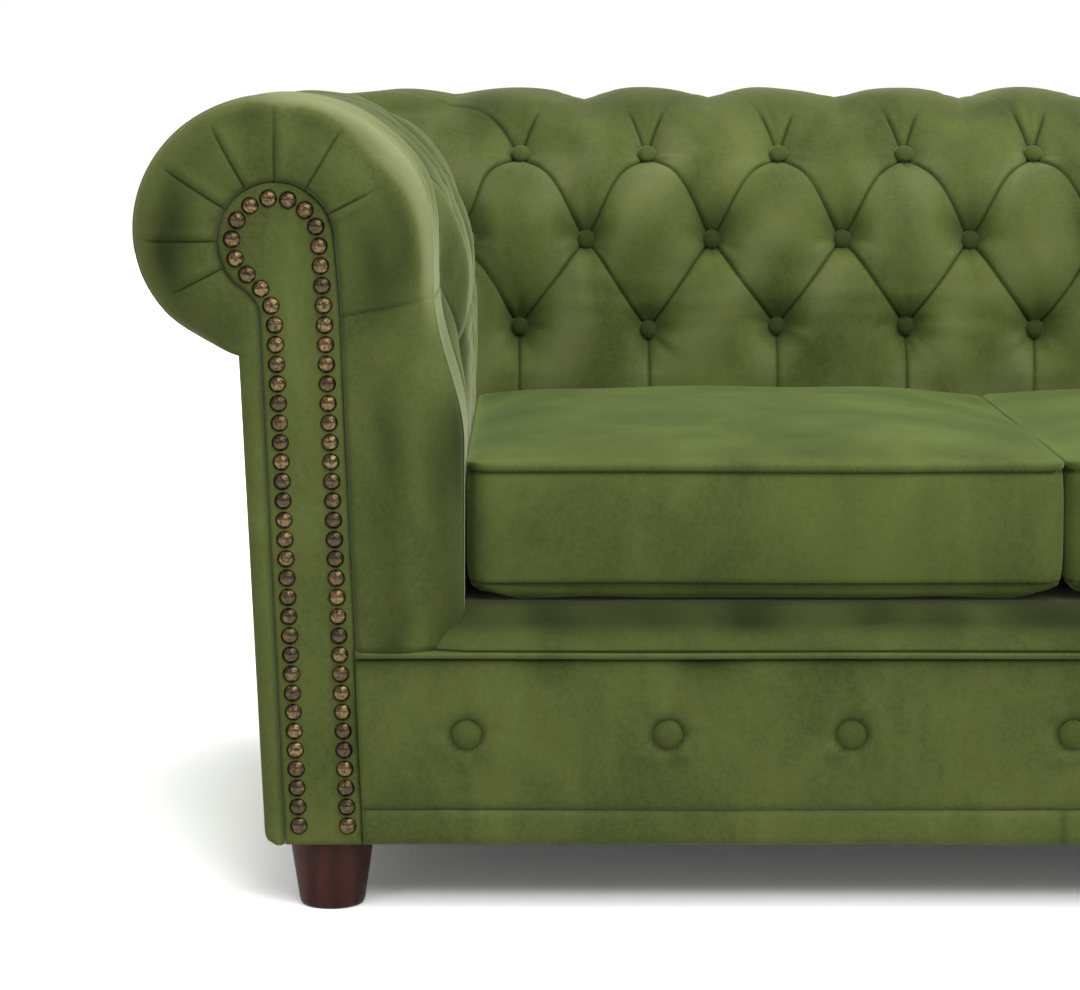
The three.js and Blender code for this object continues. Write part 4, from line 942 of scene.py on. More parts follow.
def scattered(name, places, normals, shape, material, sizes=(0.97, 1.03)):
    """Geometry nodes set one shape at each place, turned to its normal, and the result is made a plain mesh."""
    source = piece_from(f"{name}_shape", *shape, material)
    merged(source)
    tree = bpy.data.node_groups.new(f"{name}_tree", "GeometryNodeTree")
    tree.interface.new_socket("Geometry", in_out="INPUT", socket_type="NodeSocketGeometry")
    shape_socket = tree.interface.new_socket("Shape", in_out="INPUT", socket_type="NodeSocketObject")
    finish_socket = tree.interface.new_socket("Finish", in_out="INPUT", socket_type="NodeSocketMaterial")
    small_socket = tree.interface.new_socket("Smallest size", in_out="INPUT", socket_type="NodeSocketFloat")
    large_socket = tree.interface.new_socket("Largest size", in_out="INPUT", socket_type="NodeSocketFloat")
    tree.interface.new_socket("Geometry", in_out="OUTPUT", socket_type="NodeSocketGeometry")
    given = add_node(tree, "NodeGroupInput").outputs
    picked = add_node(tree, "GeometryNodeObjectInfo", {"Object": given["Shape"]})
    facing = add_node(tree, "GeometryNodeInputNamedAttribute", {"Name": "facing"}, data_type="FLOAT_VECTOR")
    turn = add_node(tree, "FunctionNodeAlignRotationToVector", {"Vector": facing.outputs[0]}, axis="Z")
    size = add_node(tree, "FunctionNodeRandomValue", data_type="FLOAT")
    tree.links.new(given["Smallest size"], size.inputs[2])
    tree.links.new(given["Largest size"], size.inputs[3])
    spread = add_node(tree, "GeometryNodeInstanceOnPoints", {
        "Points": given["Geometry"], "Instance": picked.outputs["Geometry"], "Rotation": turn.outputs[0],
        "Scale": size.outputs[1]})
    real = add_node(tree, "GeometryNodeRealizeInstances", {"Geometry": spread.outputs[0]})
    done = add_node(tree, "GeometryNodeSetMaterial", {
        "Geometry": real.outputs[0], "Material": given["Finish"]})
    add_node(tree, "NodeGroupOutput", {"Geometry": done.outputs[0]})
    mesh = bpy.data.meshes.new(name)
    mesh.from_pydata((np.asarray(places) * MM).tolist(), [], [])
    attribute = mesh.attributes.new("facing", "FLOAT_VECTOR", "POINT")
    attribute.data.foreach_set("vector", np.asarray(normals, dtype=np.float32).ravel())
    made = bpy.data.objects.new(name, mesh)
    scene.collection.objects.link(made)
    modifier = made.modifiers.new("scatter", "NODES")
    modifier.node_group = tree
    modifier[shape_socket.identifier] = source
    modifier[finish_socket.identifier] = material
    modifier[small_socket.identifier] = sizes[0]
    modifier[large_socket.identifier] = sizes[1]
    settled(made)
    if "facing" in made.data.attributes:
        made.data.attributes.remove(made.data.attributes["facing"])
    made.data.polygons.foreach_set("use_smooth", [True] * len(made.data.polygons))
    bpy.data.objects.remove(source)
    return made


def shaded_low(made):
    """Darken the buttons of the two lower rows, which lie deep in their pits."""
    heights = points_of(made)[:, 2]
    attribute = made.data.attributes.new("painted_light", "FLOAT", "POINT")
    attribute.data.foreach_set("value", (0.5 * smooth(heights, 625, 600)).astype(np.float32))
    return made


def tuft_places(columns_by_row, seed, on_arm):
    """Places and outward normals of buttons, given the columns of each row."""
    places, normals = [], []
    for level, columns in columns_by_row.items():
        u = np.array(columns, dtype=float)
        row = np.full(len(u), float(level))
        depth, run, pitches = tufted_surface(u, row, seed)
        across, z, inwards_x, inwards_z = skin_at(run)
        sunk = depth - 10.0
        across, z = across + sunk * inwards_x, z + sunk * inwards_z
        for i in range(len(u)):
            if on_arm:
                places.append((across[i], BACK_FACE_Y - pitches[i] * PITCH, z[i]))
                normals.append((-inwards_x[i], 0, -inwards_z[i]))
            else:
                places.append((pitches[i] * PITCH, across[i] - BACK_SHIFT, z[i]))
                normals.append((0, -inwards_x[i], -inwards_z[i]))
    return places, normals


def half_columns(reach):
    return [i + 0.5 for i in range(-int(reach + 0.5), int(reach + 0.5))]


def side_facing():
    """The scroll-shaped facing panel: thin board under velvet, rounded at its edge."""
    edge = facing_edge(0.0, 90, 61)
    middle = HEAD_ACROSS
    top = int(np.argmax(edge[:, 1]))
    inner, outer = edge[:top + 1], edge[top:][::-1]
    rows = 150
    at = np.linspace(0, 1, rows)

    def spaced(line):
        steps = np.linalg.norm(np.diff(line, axis=0), axis=1)
        runs = np.concatenate([[0], np.cumsum(steps)]) / steps.sum()
        return np.stack([np.interp(at, runs, column) for column in line.T], axis=-1)

    left, right = spaced(inner), spaced(outer)
    shares = np.concatenate([[0], 0.5 - 0.5 * np.cos(np.linspace(0.12, 0.88, 15) * np.pi), [1]])
    rings = []
    for a, b in zip(left, right):
        width = np.linalg.norm(b - a)
        place = a + (b - a) * shares[:, None]
        from_edge = np.minimum(shares, 1 - shares) * width
        rounding = 2.6 * (1 - np.sqrt(1 - (1 - np.clip(from_edge / 3.2, 0, 1)) ** 2))
        ripple = 0.25 * waves(place, 60, 91)
        front = np.column_stack([place[:, 0], FACING_FRONT + rounding + ripple, place[:, 1]])
        back = np.column_stack([place[[-1, 0], 0], [FACING_FRONT + 6] * 2, place[[-1, 0], 1]])
        rings.append(np.vstack([front, back]))
    return closed_body("right_scroll_facing", rings, body_velvet), middle


def nail_shape():
    """A domed nail head about the origin, its dome along Z with a thin turned rim."""
    profile = [(0.0, 1.0), (0.4, 0.9), (0.72, 0.62), (0.9, 0.26), (1.0, 0.1), (1.0, -0.1), (0.8, -0.15)]
    sides = 14
    points = [(0, 0, NAIL_HEIGHT)]
    faces = [(0, 1 + i, 1 + (i + 1) % sides) for i in range(sides)]
    for r, h in profile[1:]:
        for i in range(sides):
            angle = 2 * math.pi * i / sides
            points.append((r * NAIL_RADIUS * math.cos(angle), r * NAIL_RADIUS * math.sin(angle), h * NAIL_HEIGHT))
    for k in range(len(profile) - 2):
        a, b = 1 + k * sides, 1 + (k + 1) * sides
        faces += [(a + i, b + i, b + (i + 1) % sides, a + (i + 1) % sides) for i in range(sides)]
    last = 1 + (len(profile) - 2) * sides
    faces.append(tuple(last + i for i in reversed(range(sides))))
    return points, faces


def rounded_rectangle(half_x, half_y, radius, count):
    """Points round a rectangle with rounded corners, evenly spaced, anticlockwise from the right side."""
    corners = []
    for k, (sx, sy) in enumerate(((1, 1), (-1, 1), (-1, -1), (1, -1))):
        angles = np.radians(np.linspace(90 * k, 90 * (k + 1), 9))
        cx, cy = sx * (half_x - radius), sy * (half_y - radius)
        corners.append(np.stack([cx + radius * np.cos(angles), cy + radius * np.sin(angles)], axis=-1))
    line = np.vstack(corners + [corners[0][:1]])
    steps = np.linalg.norm(np.diff(line, axis=0), axis=1)
    runs = np.concatenate([[0], np.cumsum(steps)])
    at = np.linspace(0, runs[-1], count + 1)[:-1]
    return np.stack([np.interp(at, runs, column) for column in line.T], axis=-1)


CUSHION_HALF_X = (CUSHION_PITCH - CUSHION_GAP) / 2
CUSHION_HALF_Y = (CUSHION_REAR - CUSHION_FRONT) / 2
CUSHION_Y = (CUSHION_REAR + CUSHION_FRONT) / 2


UPPER_STITCH = 115.8
LOWER_STITCH = 17
RIDGE = CUSHION_SEAM - CUSHION_FOOT

# The case's upright sides: height over the foot and how far each ring is set in
CASE_LEVELS = (
    (0, 9), (1.5, 4.2), (5, 1.2), (10, 0.2), (LOWER_STITCH - 2.4, -0.3), (LOWER_STITCH, 1.3),
    (LOWER_STITCH + 2.4, 0), (32, -0.8), (44, -1.2), (56, -1.4), (68, -1.4), (80, -1.2), (92, -0.9), (102, -0.4),
    (UPPER_STITCH - 2.4, 0), (UPPER_STITCH, 1.5), (UPPER_STITCH + 2.2, -0.3), (121.2, -0.9), (RIDGE, -0.9))
SEWN_LEVELS = (5, 15, 18)
CASE_CORNER_RADIUS = 24


def cushion_case(name):
    """The sewn case about its own middle: sides in rings, a crowned top and a flat foot, all in even quads."""
    across_count, deep_count = 64, 70
    top_level = len(CASE_LEVELS) - 1
    index = {}
    points = []
    sewn = []
    for k, (rise, set_in) in enumerate(CASE_LEVELS):
        for i in range(across_count + 1):
            for j in range(deep_count + 1):
                inside = 0 < i < across_count and 0 < j < deep_count
                if inside and 0 < k < top_level:
                    continue
                x = (2 * i / across_count - 1) * (CUSHION_HALF_X - set_in)
                y = (2 * j / deep_count - 1) * (CUSHION_HALF_Y - set_in)
                dx = max(abs(x) - (CUSHION_HALF_X - set_in - CASE_CORNER_RADIUS), 0)
                dy = max(abs(y) - (CUSHION_HALF_Y - set_in - CASE_CORNER_RADIUS), 0)
                if dx > 0 and dy > 0:
                    share = max(dx, dy) / math.hypot(dx, dy)
                    x = math.copysign(abs(x) - dx + dx * share, x)
                    y = math.copysign(abs(y) - dy + dy * share, y)
                z = rise
                across_share, deep_share = abs(x) / CUSHION_HALF_X, abs(y) / CUSHION_HALF_Y
                if k == top_level:
                    level = max((1 - across_share ** 4) * (1 - deep_share ** 4), 0)
                    z += 19.5 * level ** 0.8
                if k < 5:
                    near = max(across_share * deep_share - 0.72, 0) / 0.28
                    z += 9 * near * near * (1 - rise / 22)
                index[i, j, k] = len(points)
                if k in SEWN_LEVELS and not inside:
                    sewn.append(len(points))
                points.append((x, y, z))
    faces = []
    for i in range(across_count):
        for j in range(deep_count):
            faces.append([index[i + a, j + b, top_level] for a, b in ((0, 0), (1, 0), (1, 1), (0, 1))])
            faces.append([index[i + a, j + b, 0] for a, b in ((0, 0), (0, 1), (1, 1), (1, 0))])
    for k in range(top_level):
        for i in range(across_count):
            for j, turn in ((0, 1), (deep_count, -1)):
                face = [index[i, j, k], index[i + 1, j, k], index[i + 1, j, k + 1], index[i, j, k + 1]]
                faces.append(face[::turn])
        for j in range(deep_count):
            for i, turn in ((0, -1), (across_count, 1)):
                face = [index[i, j, k], index[i, j + 1, k], index[i, j + 1, k + 1], index[i, j, k + 1]]
                faces.append(face[::turn])
    made = piece_from(name, points, faces, seat_velvet_lit_copy)
    group = made.vertex_groups.new(name="sewn")
    group.add(sewn, 1.0, "REPLACE")
    return made


def filled(made, pressure, frames, cap):
    """Fills a case by cloth simulation with its sewn rings held. No point moves further than the cap."""
    start = points_of(made)
    cloth = made.modifiers.new("cloth", "CLOTH")
    cloth.settings.quality = 4
    cloth.settings.mass = 0.4
    cloth.settings.tension_stiffness = 15
    cloth.settings.compression_stiffness = 15
    cloth.settings.shear_stiffness = 8
    cloth.settings.bending_stiffness = 2.0
    cloth.settings.vertex_group_mass = "sewn"
    cloth.settings.use_pressure = True
    cloth.settings.uniform_pressure_force = pressure
    cloth.settings.effector_weights.gravity = 0
    cloth.point_cache.frame_start = 1
    cloth.point_cache.frame_end = frames
    for number in range(1, frames + 1):
        scene.frame_set(number)
    graph = bpy.context.evaluated_depsgraph_get()
    evaluated = made.evaluated_get(graph)
    swollen = evaluated.to_mesh()
    end = np.empty(len(start) * 3)
    swollen.vertices.foreach_get("co", end)
    evaluated.to_mesh_clear()
    made.modifiers.clear()
    scene.frame_set(1)
    move = end.reshape(-1, 3) / MM - start
    length = np.linalg.norm(move, axis=1, keepdims=True)
    move *= np.minimum(1, cap / np.maximum(length, 1e-6))
    move_points(made, start + move)
    return made


def points_of(made):
    """A piece's points in millimetres."""
    places = np.empty(len(made.data.vertices) * 3)
    made.data.vertices.foreach_get("co", places)
    return places.reshape(-1, 3) / MM


def move_points(made, places):
    made.data.vertices.foreach_set("co", (places * MM).ravel())
    made.data.update()


def seat_cushion(side, x, seed):
    """A seat cushion: filled by simulation, flattened on what it rests on, then drawn in at its stitches."""
    made = cushion_case(f"{side}_cushion_cover")
    filled(made, pressure=3.0, frames=20, cap=7)
    made.vertex_groups.clear()
    finer = made.modifiers.new("finer", "SUBSURF")
    finer.levels = 1
    finer.render_levels = 1
    settled(made)
    local = points_of(made)
    local[:, 0] = np.clip(local[:, 0], -CUSHION_HALF_X - 0.6, CUSHION_HALF_X + 0.6)
    local[:, 1] = np.clip(local[:, 1], -CUSHION_HALF_Y - 6, CUSHION_HALF_Y)
    local[:, 2] = np.clip(local[:, 2], 0, CUSHION_CREST - CUSHION_FOOT + 8)
    out = np.maximum(np.abs(local[:, 0]) / CUSHION_HALF_X, np.abs(local[:, 1]) / CUSHION_HALF_Y)
    on_side = smooth(out, 0.97, 0.985)
    line = np.zeros(len(local))
    for rise in (UPPER_STITCH, LOWER_STITCH):
        line = np.maximum(line, np.exp(-((local[:, 2] - rise) / 1.7) ** 2) * on_side)
    # Wide shallow hollows where it has been sat on, and a slightly uneven ridge and foot
    top = smooth(local[:, 2], RIDGE - 6, RIDGE + 8)
    local[:, 2] += top * 1.5 * waves(local[:, :2], 260, seed + 1)
    local[:, 2] += (1 - top) * 0.9 * waves(local[:, :2], 330, seed + 4) * smooth(local[:, 2], 2, 20)
    front = smooth(-local[:, 1], CUSHION_HALF_Y - 40, CUSHION_HALF_Y - 8) * (1 - top)
    local[:, 1] -= front * (1.0 * waves(local[:, (0, 2)], 190, seed + 3))
    move_points(made, local + (x, CUSHION_Y, CUSHION_FOOT))
    attribute = made.data.attributes.new("painted_light", "FLOAT", "POINT")
    # Painted shade on the top, stronger near the left and right sides, with the stitch lines darker
    painted_top_shade = smooth(local[:, 2], RIDGE - 2, RIDGE + 6) * (0.2 + 0.14 * waves(local[:, :2], 170, seed + 6))
    corner = np.exp(-((local[:, 0] + CUSHION_HALF_X) / 60) ** 2) + np.exp(-((local[:, 0] - CUSHION_HALF_X) / 60) ** 2)
    painted_top_shade = painted_top_shade * (1 + 0.6 * corner)
    attribute.data.foreach_set("value", np.maximum(line * 0.8, painted_top_shade).astype(np.float32))
    made.data.polygons.foreach_set("use_smooth", [True] * len(made.data.polygons))
    return made


def stitch_row(name, made, x, rise, seed):
    """Stitches along a cushion's seam, one every 6 mm, found on its real surface."""
    path = rounded_rectangle(CUSHION_HALF_X + 4, CUSHION_HALF_Y + 4, 26, 370)
    path = path[path[:, 1] < CUSHION_HALF_Y - 30]
    sag = 0.9 * waves(path, 330, seed + 4)
    tree = BVHTree.FromObject(made, bpy.context.evaluated_depsgraph_get())
    points, faces = [], []
    for i in range(1, len(path) - 1):
        along = path[i + 1] - path[i - 1]
        if np.linalg.norm(along) > 40:
            continue
        along = np.array([along[0], along[1], 0]) / np.linalg.norm(along)
        near = Vector(((path[i][0] + x) * MM, (path[i][1] + CUSHION_Y) * MM, (CUSHION_FOOT + rise + sag[i]) * MM))
        place, normal, _, _ = tree.find_nearest(near)
        place, normal = np.array(place) / MM, np.array(normal)
        over = np.cross(along, normal)
        base = len(points)
        for share in (-1, -0.4, 0.4, 1):
            lift = 0.35 * (1 - share * share)
            for angle in (0, 120, 240):
                ring = math.radians(angle)
                radius = 0.5 if abs(share) < 1 else 0.2
                points.append(place + along * share * 2.1 + normal * (lift + radius * math.cos(ring))
                              + over * radius * math.sin(ring))
        faces += grid_faces(4, 3, first=base, around=True)
        faces += [(base, base + 1, base + 2), (base + 11, base + 10, base + 9)]
    return merged(piece_from(name, points, faces, thread), distance=0.001)


def strip_along_x(name, section, half, spacing, shift, material):
    """A long piece whose closed section in Y and Z is moved by a function of its points."""
    count = int(2 * half / spacing)
    rings = []
    painted_light_values = []
    for x in np.linspace(-half, half, count):
        ring = np.column_stack([np.full(len(section), x), section])
        moved, painted_light = shift(ring)
        rings.append(moved)
        painted_light_values.append(painted_light)
    made = closed_body(name, rings, material, painted_light=np.concatenate(painted_light_values))
    return made


LIP_SEAM_X = -253


def up_to_facing(ring):
    """How far the ends of a front piece reach out to stay beside the leaning facing."""
    lean = (FACING_NECK[0] - FACING_FOOT[0]) / (NECK_Z - BASE)
    return np.sign(ring[:, 0]) * smooth(np.abs(ring[:, 0]), 840, BORDER_HALF) * lean * (ring[:, 2] - BASE)


def seat_deck():
    """The sprung deck's cover: sloping lip, let in under the arms' padding, and the platform under the cushions."""
    foot = PAD_FOOT + WELT
    slope = bezier([(-448.6, foot), (-445, foot + 16), (-430, DECK_TOP - 5), (-400, DECK_TOP)], 18)
    rear = [(-300, DECK_TOP), (-100, DECK_TOP), (60, DECK_TOP), (167.4, DECK_TOP), (167.4, 254), (-100, 254),
            (-400, 254), (-424, foot)]
    section = np.array(slope.tolist() + rear)

    def shift(ring):
        moved = ring.copy()
        x = ring[0, 0]
        flat = ring[:, (0, 2)]
        front = smooth(-ring[:, 1], 395, 425) * smooth(ring[:, 2], PAD_FOOT + 6, PAD_FOOT + 14)
        moved[:, 1] -= front * (1.2 * waves(flat, 240, 51) + 0.5 * waves(flat, 60, 52))
        moved[:, 2] += front * 0.9 * waves(flat, 300, 53)
        seam = np.exp(-abs(abs(x) - abs(LIP_SEAM_X)) / 1.6) * smooth(ring[:, 2], PAD_FOOT + 5, 254)
        moved[:, 1] += 1.2 * seam * (ring[:, 1] < -395)
        # Behind the lip the cover ends at the arms. In front it goes on under their rounded edge
        wide = max(abs(x) - 797.4, 0)
        moved[:, 0] -= math.copysign(wide, x) * (ring[:, 1] > -401)
        moved[:, 1] += 0.25 * wide * (ring[:, 1] < -401)
        crease = np.exp(-((ring[:, 2] - foot) / 1.6) ** 2) * (ring[:, 1] < -440)
        # Painted shade: all over the deck, darker back from the lip's edge under the cushions, and in the crease over
        # the welt, with the seams darker too
        under_cushion = smooth(-ring[:, 1], 449, 431) * (0.85 + 0.2 * waves(ring[:, :1], 90, 55))
        return moved, np.clip(np.maximum(0.7 * seam + 0.8 * crease, 0.22 + 0.6 * under_cushion), 0, 0.9)

    return strip_along_x("seat_deck_cover", section, 838, 6.0, shift, body_velvet)


def lip_welt():
    """The flat welt between the lip and the border."""
    low, high = PAD_FOOT + 0.2, PAD_FOOT + WELT - 0.2
    section = np.array([
        (-436, low), (-447.5, low), (-450.2, low + 1), (-451.0, low + 3), (-450.2, high - 1), (-447.5, high),
        (-436, high)])

    def shift(ring):
        moved = ring.copy()
        moved[:, 0] += up_to_facing(ring)
        moved[:, 2] += 0.5 * waves(ring[:, :1], 500, 54)
        # Painted shade on the welt's top and underside
        return moved, 0.5 * (ring[:, 1] > -449)

    return strip_along_x("lip_welt", section, BORDER_HALF - 0.4, 8.0, shift, body_velvet)


def front_border():
    """The padded border under the lip, drawn in at its buttons."""
    rear = -409.2
    z = np.linspace(BORDER_FOOT, BORDER_TOP, 30)
    share = (z - BORDER_FOOT) / (BORDER_TOP - BORDER_FOOT)
    crown = 5.5 * (1 - (np.sin(np.pi * share)) ** 0.35)
    front = np.column_stack([-449.4 + crown, z])
    section = np.vstack([[(rear, BORDER_FOOT)], front, [(rear, BORDER_TOP)]])

    def shift(ring):
        moved = ring.copy()
        x, zz = ring[0, 0], ring[:, 2]
        flat = ring[:, (0, 2)]
        dip = np.zeros(len(ring))
        pucker = np.zeros(len(ring))
        for i, at in enumerate(BORDER_BUTTONS):
            dx, dz = x - at, zz - BORDER_BUTTON_Z
            distance = np.hypot(dx, dz)
            angle = np.arctan2(dz, dx)
            dip = np.maximum(dip, 5.5 * np.exp(-(distance / 17.5) ** 5) + 3.0 * np.exp(-(distance / 27) ** 2))
            spokes = np.sin(angle * 5 + i * 2.1) + 0.7 * np.sin(angle * 9 + i)
            pucker += 0.7 * spokes * np.exp(-(((distance - 20) / 12) ** 2))
            dip += 1.4 * np.exp(-np.abs(dz) / 5) * np.exp(-np.abs(np.abs(dx) - 34) / 20)
        amount = (ring[:, 1] < -430).astype(float)
        ripple = 0.9 * waves(flat, 210, 61) + 0.3 * waves(flat, 48, 62)
        moved[:, 0] += up_to_facing(ring)
        moved[:, 1] += amount * (dip + pucker + ripple)
        # Painted shade under the welt, below each button and in the dips round the buttons
        under_welt = 0.55 * np.exp(-(BORDER_TOP - zz) / 13) * (0.6 + 0.5 * waves(ring[:, :1], 120, 63))
        below = np.exp(-(((x - np.array(BORDER_BUTTONS)[:, None]) / 26) ** 2) - ((zz - BORDER_BUTTON_Z + 22) / 11) ** 2)
        painted_light_and_tone = np.maximum(under_welt, 0.32 * below.max(axis=0) * (0.8 + 0.5 * waves(flat, 20, 64)))
        return moved, amount * np.clip(np.maximum(smooth(dip, 3, 8) * 0.75, painted_light_and_tone), 0, 0.8)

    return strip_along_x("front_border_cover", section, BORDER_HALF, 4.0, shift, body_velvet)


def base_band():
    """The plain band under the border, with one seam at each third."""
    rear = -409.2
    z = np.linspace(BASE, BAND_TOP, 9)
    share = (z - BASE) / (BAND_TOP - BASE)
    crown = 3.0 * (1 - np.sin(np.pi * share) ** 0.3)
    section = np.vstack([[(rear, BASE)], np.column_stack([-447.2 + crown, z]), [(rear, BAND_TOP)]])

    def shift(ring):
        moved = ring.copy()
        flat = ring[:, (0, 2)]
        amount = (ring[:, 1] < -430).astype(float)
        seam = np.exp(-np.abs(np.abs(ring[:, 0]) - 270) / 1.5)
        moved[:, 0] += up_to_facing(ring)
        moved[:, 1] += amount * (0.7 * waves(flat, 260, 71) + 1.3 * seam)
        return moved, amount * 0.7 * seam

    return strip_along_x("base_band_cover", section, BORDER_HALF, 5.0, shift, body_velvet)


def cover_section():
    """The outer panels' section, as across and Z: leaning in towards the floor, a little full."""
    top = 555.0
    under_roll = ROLL_CENTRE_Z + ROLL_HALF_HEIGHT * math.sin(math.radians(ROLL_END_ANGLE))
    end = ROLL_CENTRE + ROLL_HALF_WIDTH * math.cos(math.radians(ROLL_END_ANGLE))
    z = np.linspace(BASE, under_roll + 1, 34)
    share = (z - BASE) / (under_roll - BASE)
    face = end - COVER_LEAN * (1 - share) - 0.3
    turn = 2.2 * (1 - np.clip(np.sin(np.pi * share), 0, 1) ** 0.25)
    outer = np.column_stack([face - turn, z])
    return np.vstack([outer, [(end - 1, top), (end - COVER_DEPTH, top)], [(end - COVER_LEAN - COVER_DEPTH, BASE)]])


def outer_arm_panel():
    """The plain panel on an arm's outer side."""
    section = cover_section()
    rings = []
    for share in np.linspace(0, 1, 90):
        rear = section[:, 0] - BACK_SHIFT - 0.5
        y = -408.7 + (rear + 408.7) * share
        flat = np.column_stack([y, section[:, 1]])
        amount = (section[:, 1] < 500) & (np.arange(len(section)) < 34)
        ripple = 1.2 * waves(flat, 330, 81) + 0.3 * waves(flat, 80, 82)
        rings.append(np.column_stack([section[:, 0] - amount * np.abs(ripple), y, section[:, 1]]))
    return closed_body("right_outer_arm_panel", rings, body_velvet)


def outside_back_panel():
    """The plain panel behind the back."""
    section = cover_section()
    rings = []
    for share in np.linspace(-1, 1, 200):
        x = share * (section[:, 0] - 0.4)
        flat = np.column_stack([x, section[:, 1]])
        amount = (section[:, 1] < 500) & (np.arange(len(section)) < 34)
        ripple = 1.3 * waves(flat, 380, 83) + 0.3 * waves(flat, 90, 84)
        rings.append(np.column_stack([x, section[:, 0] - BACK_SHIFT - amount * np.abs(ripple), section[:, 1]]))
    return closed_body("outside_back_panel", rings, body_velvet)


def turned_leg(name, x, y):
    """A round tapered leg, with its edges eased."""
    profile = [(0, 0), (LEG_FOOT_RADIUS - 4.5, 0), (LEG_FOOT_RADIUS - 1.4, 0.8), (LEG_FOOT_RADIUS - 0.2, 2.6),
               (LEG_FOOT_RADIUS + 0.6, 5.5), (LEG_TOP_RADIUS - 3.5, 40), (LEG_TOP_RADIUS - 0.9, 58),
               (LEG_TOP_RADIUS - 0.4, 62), (LEG_TOP_RADIUS - 0.3, LEG_HEIGHT)]
    sides = 72
    angles = np.linspace(0, 2 * math.pi, sides, endpoint=False)
    rings = [
        np.column_stack([x + r * np.cos(angles), y + r * np.sin(angles), np.full(sides, z)])
        for r, z in profile[1:]]
    return closed_body(name, rings, leg_wood)


# Upholstery
back = back_cover()
finished(back, "root", ["back_pad"])
arm = arm_cover()
left_arm = mirrored(arm, "left_buttoned_arm")
facing_panel, _ = side_facing()
left_facing = mirrored(facing_panel, "left_scroll_facing")
for side, cover, panel in (("right", arm, facing_panel), ("left", left_arm, left_facing)):
    finished(cover, "root", [f"{side}_arm_pad", f"{side}_arm_face"])
    finished(panel, "root", [f"{side}_arm_facing"])

button = covered_button(BUTTON_RADIUS, 5.0)
back_places, back_normals = tuft_places({
    1: half_columns(5.5), 2: list(range(-5, 6)), 3: half_columns(5.5)}, 11, False)
finished(shaded_low(scattered("back_buttons", back_places, back_normals, button, shaded_button_velvet)), "root")
arm_places, arm_normals = tuft_places({
    1: [0.5, 1.5, 2.5], 2: [1, 2], 3: [0.5, 1.5, 2.5]}, 29, True)
arm_buttons = shaded_low(scattered("right_arm_buttons", arm_places, arm_normals, button, shaded_button_velvet))
left_arm_buttons = mirrored(arm_buttons, "left_arm_buttons")
finished(arm_buttons, "root")
finished(left_arm_buttons, "root")

# Corner buttons sit on each mitre, in the middle row
corner_across, corner_z, corner_in_x, corner_in_z = skin_at(np.array([float(ROW_RUNS[2])]))
corner_depth = 8
corner_t = corner_across[0] + corner_depth * corner_in_x[0]
corner_height = corner_z[0] + corner_depth * corner_in_z[0]
corner_places = [(side * corner_t, corner_t - BACK_SHIFT, corner_height) for side in (-1, 1)]
corner_normals = [(-side * 0.7, -0.7, 0.15) for side in (-1, 1)]
finished(scattered("corner_buttons", corner_places, corner_normals, button, shaded_button_velvet), "root")

nail_line = even_points(facing_edge(NAIL_INSET, 90, 61), NAIL_PITCH)
nail_line = nail_line[nail_line[:, 1] > BASE + 9]
nail_places = [(t, FACING_FRONT - 0.2, z) for t, z in nail_line]
nails = scattered("right_nails", nail_places, [(0, -1, 0)] * len(nail_places), nail_shape(), nail_brass, (0.98, 1.01))
left_nails = mirrored(nails, "left_nails")
finished(nails, "root", ["right_arm_nail_trim"])
finished(left_nails, "root", ["left_arm_nail_trim"])

# Seat and base
finished(seat_deck(), "root", ["seat_deck"])
finished(lip_welt(), "root")
finished(front_border(), "root", ["front_border"])
finished(base_band(), "root", ["base_band"])
border_places = [(x, SOFA_FRONT + 9.2, BORDER_BUTTON_Z) for x in BORDER_BUTTONS]
border_buttons = scattered("border_buttons", border_places, [(0, -1, 0)] * 10,
                           covered_button(BORDER_BUTTON_RADIUS, 6.5), shaded_button_velvet)
finished(border_buttons, "root", [f"border_button_{i + 1}" for i in range(10)])

for number, side in enumerate(("left", "centre", "right")):
    cushion_x = (number - 1) * CUSHION_PITCH
    cushion = seat_cushion(side, cushion_x, seed=101 + 10 * number)
    finished(cushion, f"{side}_cushion", [f"{side}_seat_cushion"])
    for where, rise in (("upper", UPPER_STITCH), ("lower", LOWER_STITCH)):
        stitches = stitch_row(f"{side}_{where}_stitches", cushion, cushion_x, rise, 101 + 10 * number)
        finished(stitches, f"{side}_cushion")

# Outer panels and legs
outer_panel = outer_arm_panel()
left_outer_panel = mirrored(outer_panel, "left_outer_arm_panel")
finished(outer_panel, "root", ["right_outer_arm_cover"])
finished(left_outer_panel, "root", ["left_outer_arm_cover"])
finished(outside_back_panel(), "root", ["outside_back_cover"])
for side, sign in (("left", -1), ("right", 1)):
    for end, leg_y in zip(("front", "rear"), LEG_YS):
        leg = turned_leg(f"{side}_{end}_turned_leg", sign * LEG_X, leg_y)
        finished(leg, "root", [f"{side}_{end}_leg"])

# Nodes that keep their shape get their real material
FINISHES = {"frame_wood": frame_beech, "plywood": birch_ply, "spring_steel": steel, "bolt_steel": steel,
            "lining": lining, "velvet": body_velvet, "leg_wood": leg_wood, "nail_brass": nail_brass}
for subpart in frame["record"]["subparts"]:
    node_object = frame["nodes"][subpart["node"]]
    node_object.data.materials.clear()
    node_object.data.materials.append(FINISHES[subpart["material_slot"]])


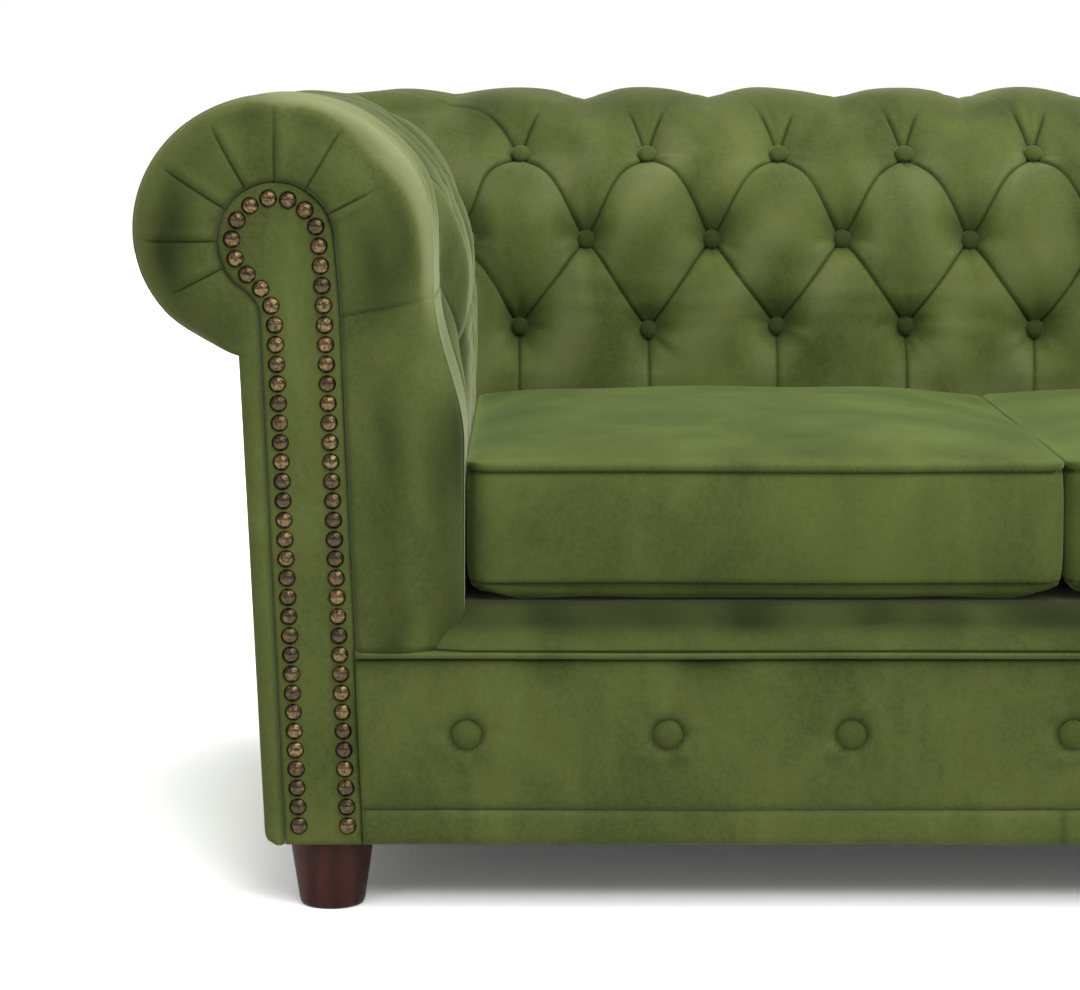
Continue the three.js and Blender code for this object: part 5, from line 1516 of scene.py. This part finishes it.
def white_for_camera(name, seen, unseen):
    """A matte surface that shows one colour to the camera and reflections and gives off less light."""
    material, tree, output = new_material(name)
    light_path = add_node(tree, "ShaderNodeLightPath")
    seen_by = add_node(tree, "ShaderNodeMath", {
        0: light_path.outputs["Is Camera Ray"], 1: light_path.outputs["Is Glossy Ray"]}, operation="MAXIMUM")
    colour = between(tree, seen_by.outputs[0], unseen, seen)
    shader = add_node(tree, "ShaderNodeBsdfDiffuse", {"Color": colour})
    glow = add_node(tree, "ShaderNodeMath", {0: seen_by.outputs[0], 1: 0.035}, operation="MULTIPLY")
    lit = add_node(tree, "ShaderNodeEmission", {"Strength": glow.outputs[0]})
    both = add_node(tree, "ShaderNodeAddShader", {0: shader.outputs[0], 1: lit.outputs[0]})
    tree.links.new(both.outputs[0], output.inputs[0])
    return material


# Floor, lights and world
floor = piece_from("floor", [(-9000, -9000, 0), (9000, -9000, 0), (9000, 9000, 0), (-9000, 9000, 0)],
                   [(0, 1, 2, 3)], white_for_camera("white_floor", [2.6, 2.6, 2.6, 1], [0.55, 0.55, 0.55, 1]))

world = bpy.data.worlds.new("studio")
scene.world = world
world.use_nodes = True
world.node_tree.nodes.clear()
world_out = add_node(world.node_tree, "ShaderNodeOutputWorld")
world_path = add_node(world.node_tree, "ShaderNodeLightPath")
world_seen = add_node(world.node_tree, "ShaderNodeMath", {
    0: world_path.outputs["Is Camera Ray"], 1: world_path.outputs["Is Glossy Ray"]}, operation="MAXIMUM")
world_strength = add_node(world.node_tree, "ShaderNodeMapRange", {
    "Value": world_seen.outputs[0], "To Min": 0.34, "To Max": 1.0})
world_light = add_node(world.node_tree, "ShaderNodeBackground", {
    "Color": (1, 1, 1, 1), "Strength": world_strength.outputs[0]})
world.node_tree.links.new(world_light.outputs[0], world_out.inputs[0])


def soft_sun(name, comes_from, spread, strength):
    """An even, soft light from one side. Strength pi lights a facing white surface to 1."""
    data = bpy.data.lights.new(name, "SUN")
    data.angle = math.radians(spread)
    data.energy = strength * math.pi
    lamp = bpy.data.objects.new(name, data)
    lamp.rotation_euler = (-Vector(comes_from)).to_track_quat("-Z", "Y").to_euler()
    scene.collection.objects.link(lamp)


soft_sun("overhead", (0.3, 0.1, 1.0), 60, 0.28)
soft_sun("key", (0.35, -1.0, 0.95), 30, 0.2)


def softbox(name, place, target, size, energy):
    """A rectangular lamp that points at a target."""
    data = bpy.data.lights.new(name, "AREA")
    data.shape = "RECTANGLE"
    data.size, data.size_y = size
    data.energy = energy
    lamp = bpy.data.objects.new(name, data)
    lamp.location = place
    lamp.rotation_euler = (Vector(target) - lamp.location).to_track_quat("-Z", "Y").to_euler()
    scene.collection.objects.link(lamp)


# One lamp over the seat lights the back more than the front, and two small ones shine in the nails
softbox("over_seat", (0.1, -0.85, 1.7), (-0.4, 0.25, 0.5), (2.2, 0.5), 12)
softbox("front_left", (-2.4, -2.9, 1.9), (-0.8, -0.4, 0.4), (0.5, 0.5), 5)
softbox("front_right", (1.3, -2.8, 2.0), (-0.8, -0.2, 0.45), (0.5, 0.5), 13)

scene.view_settings.view_transform = "Standard"
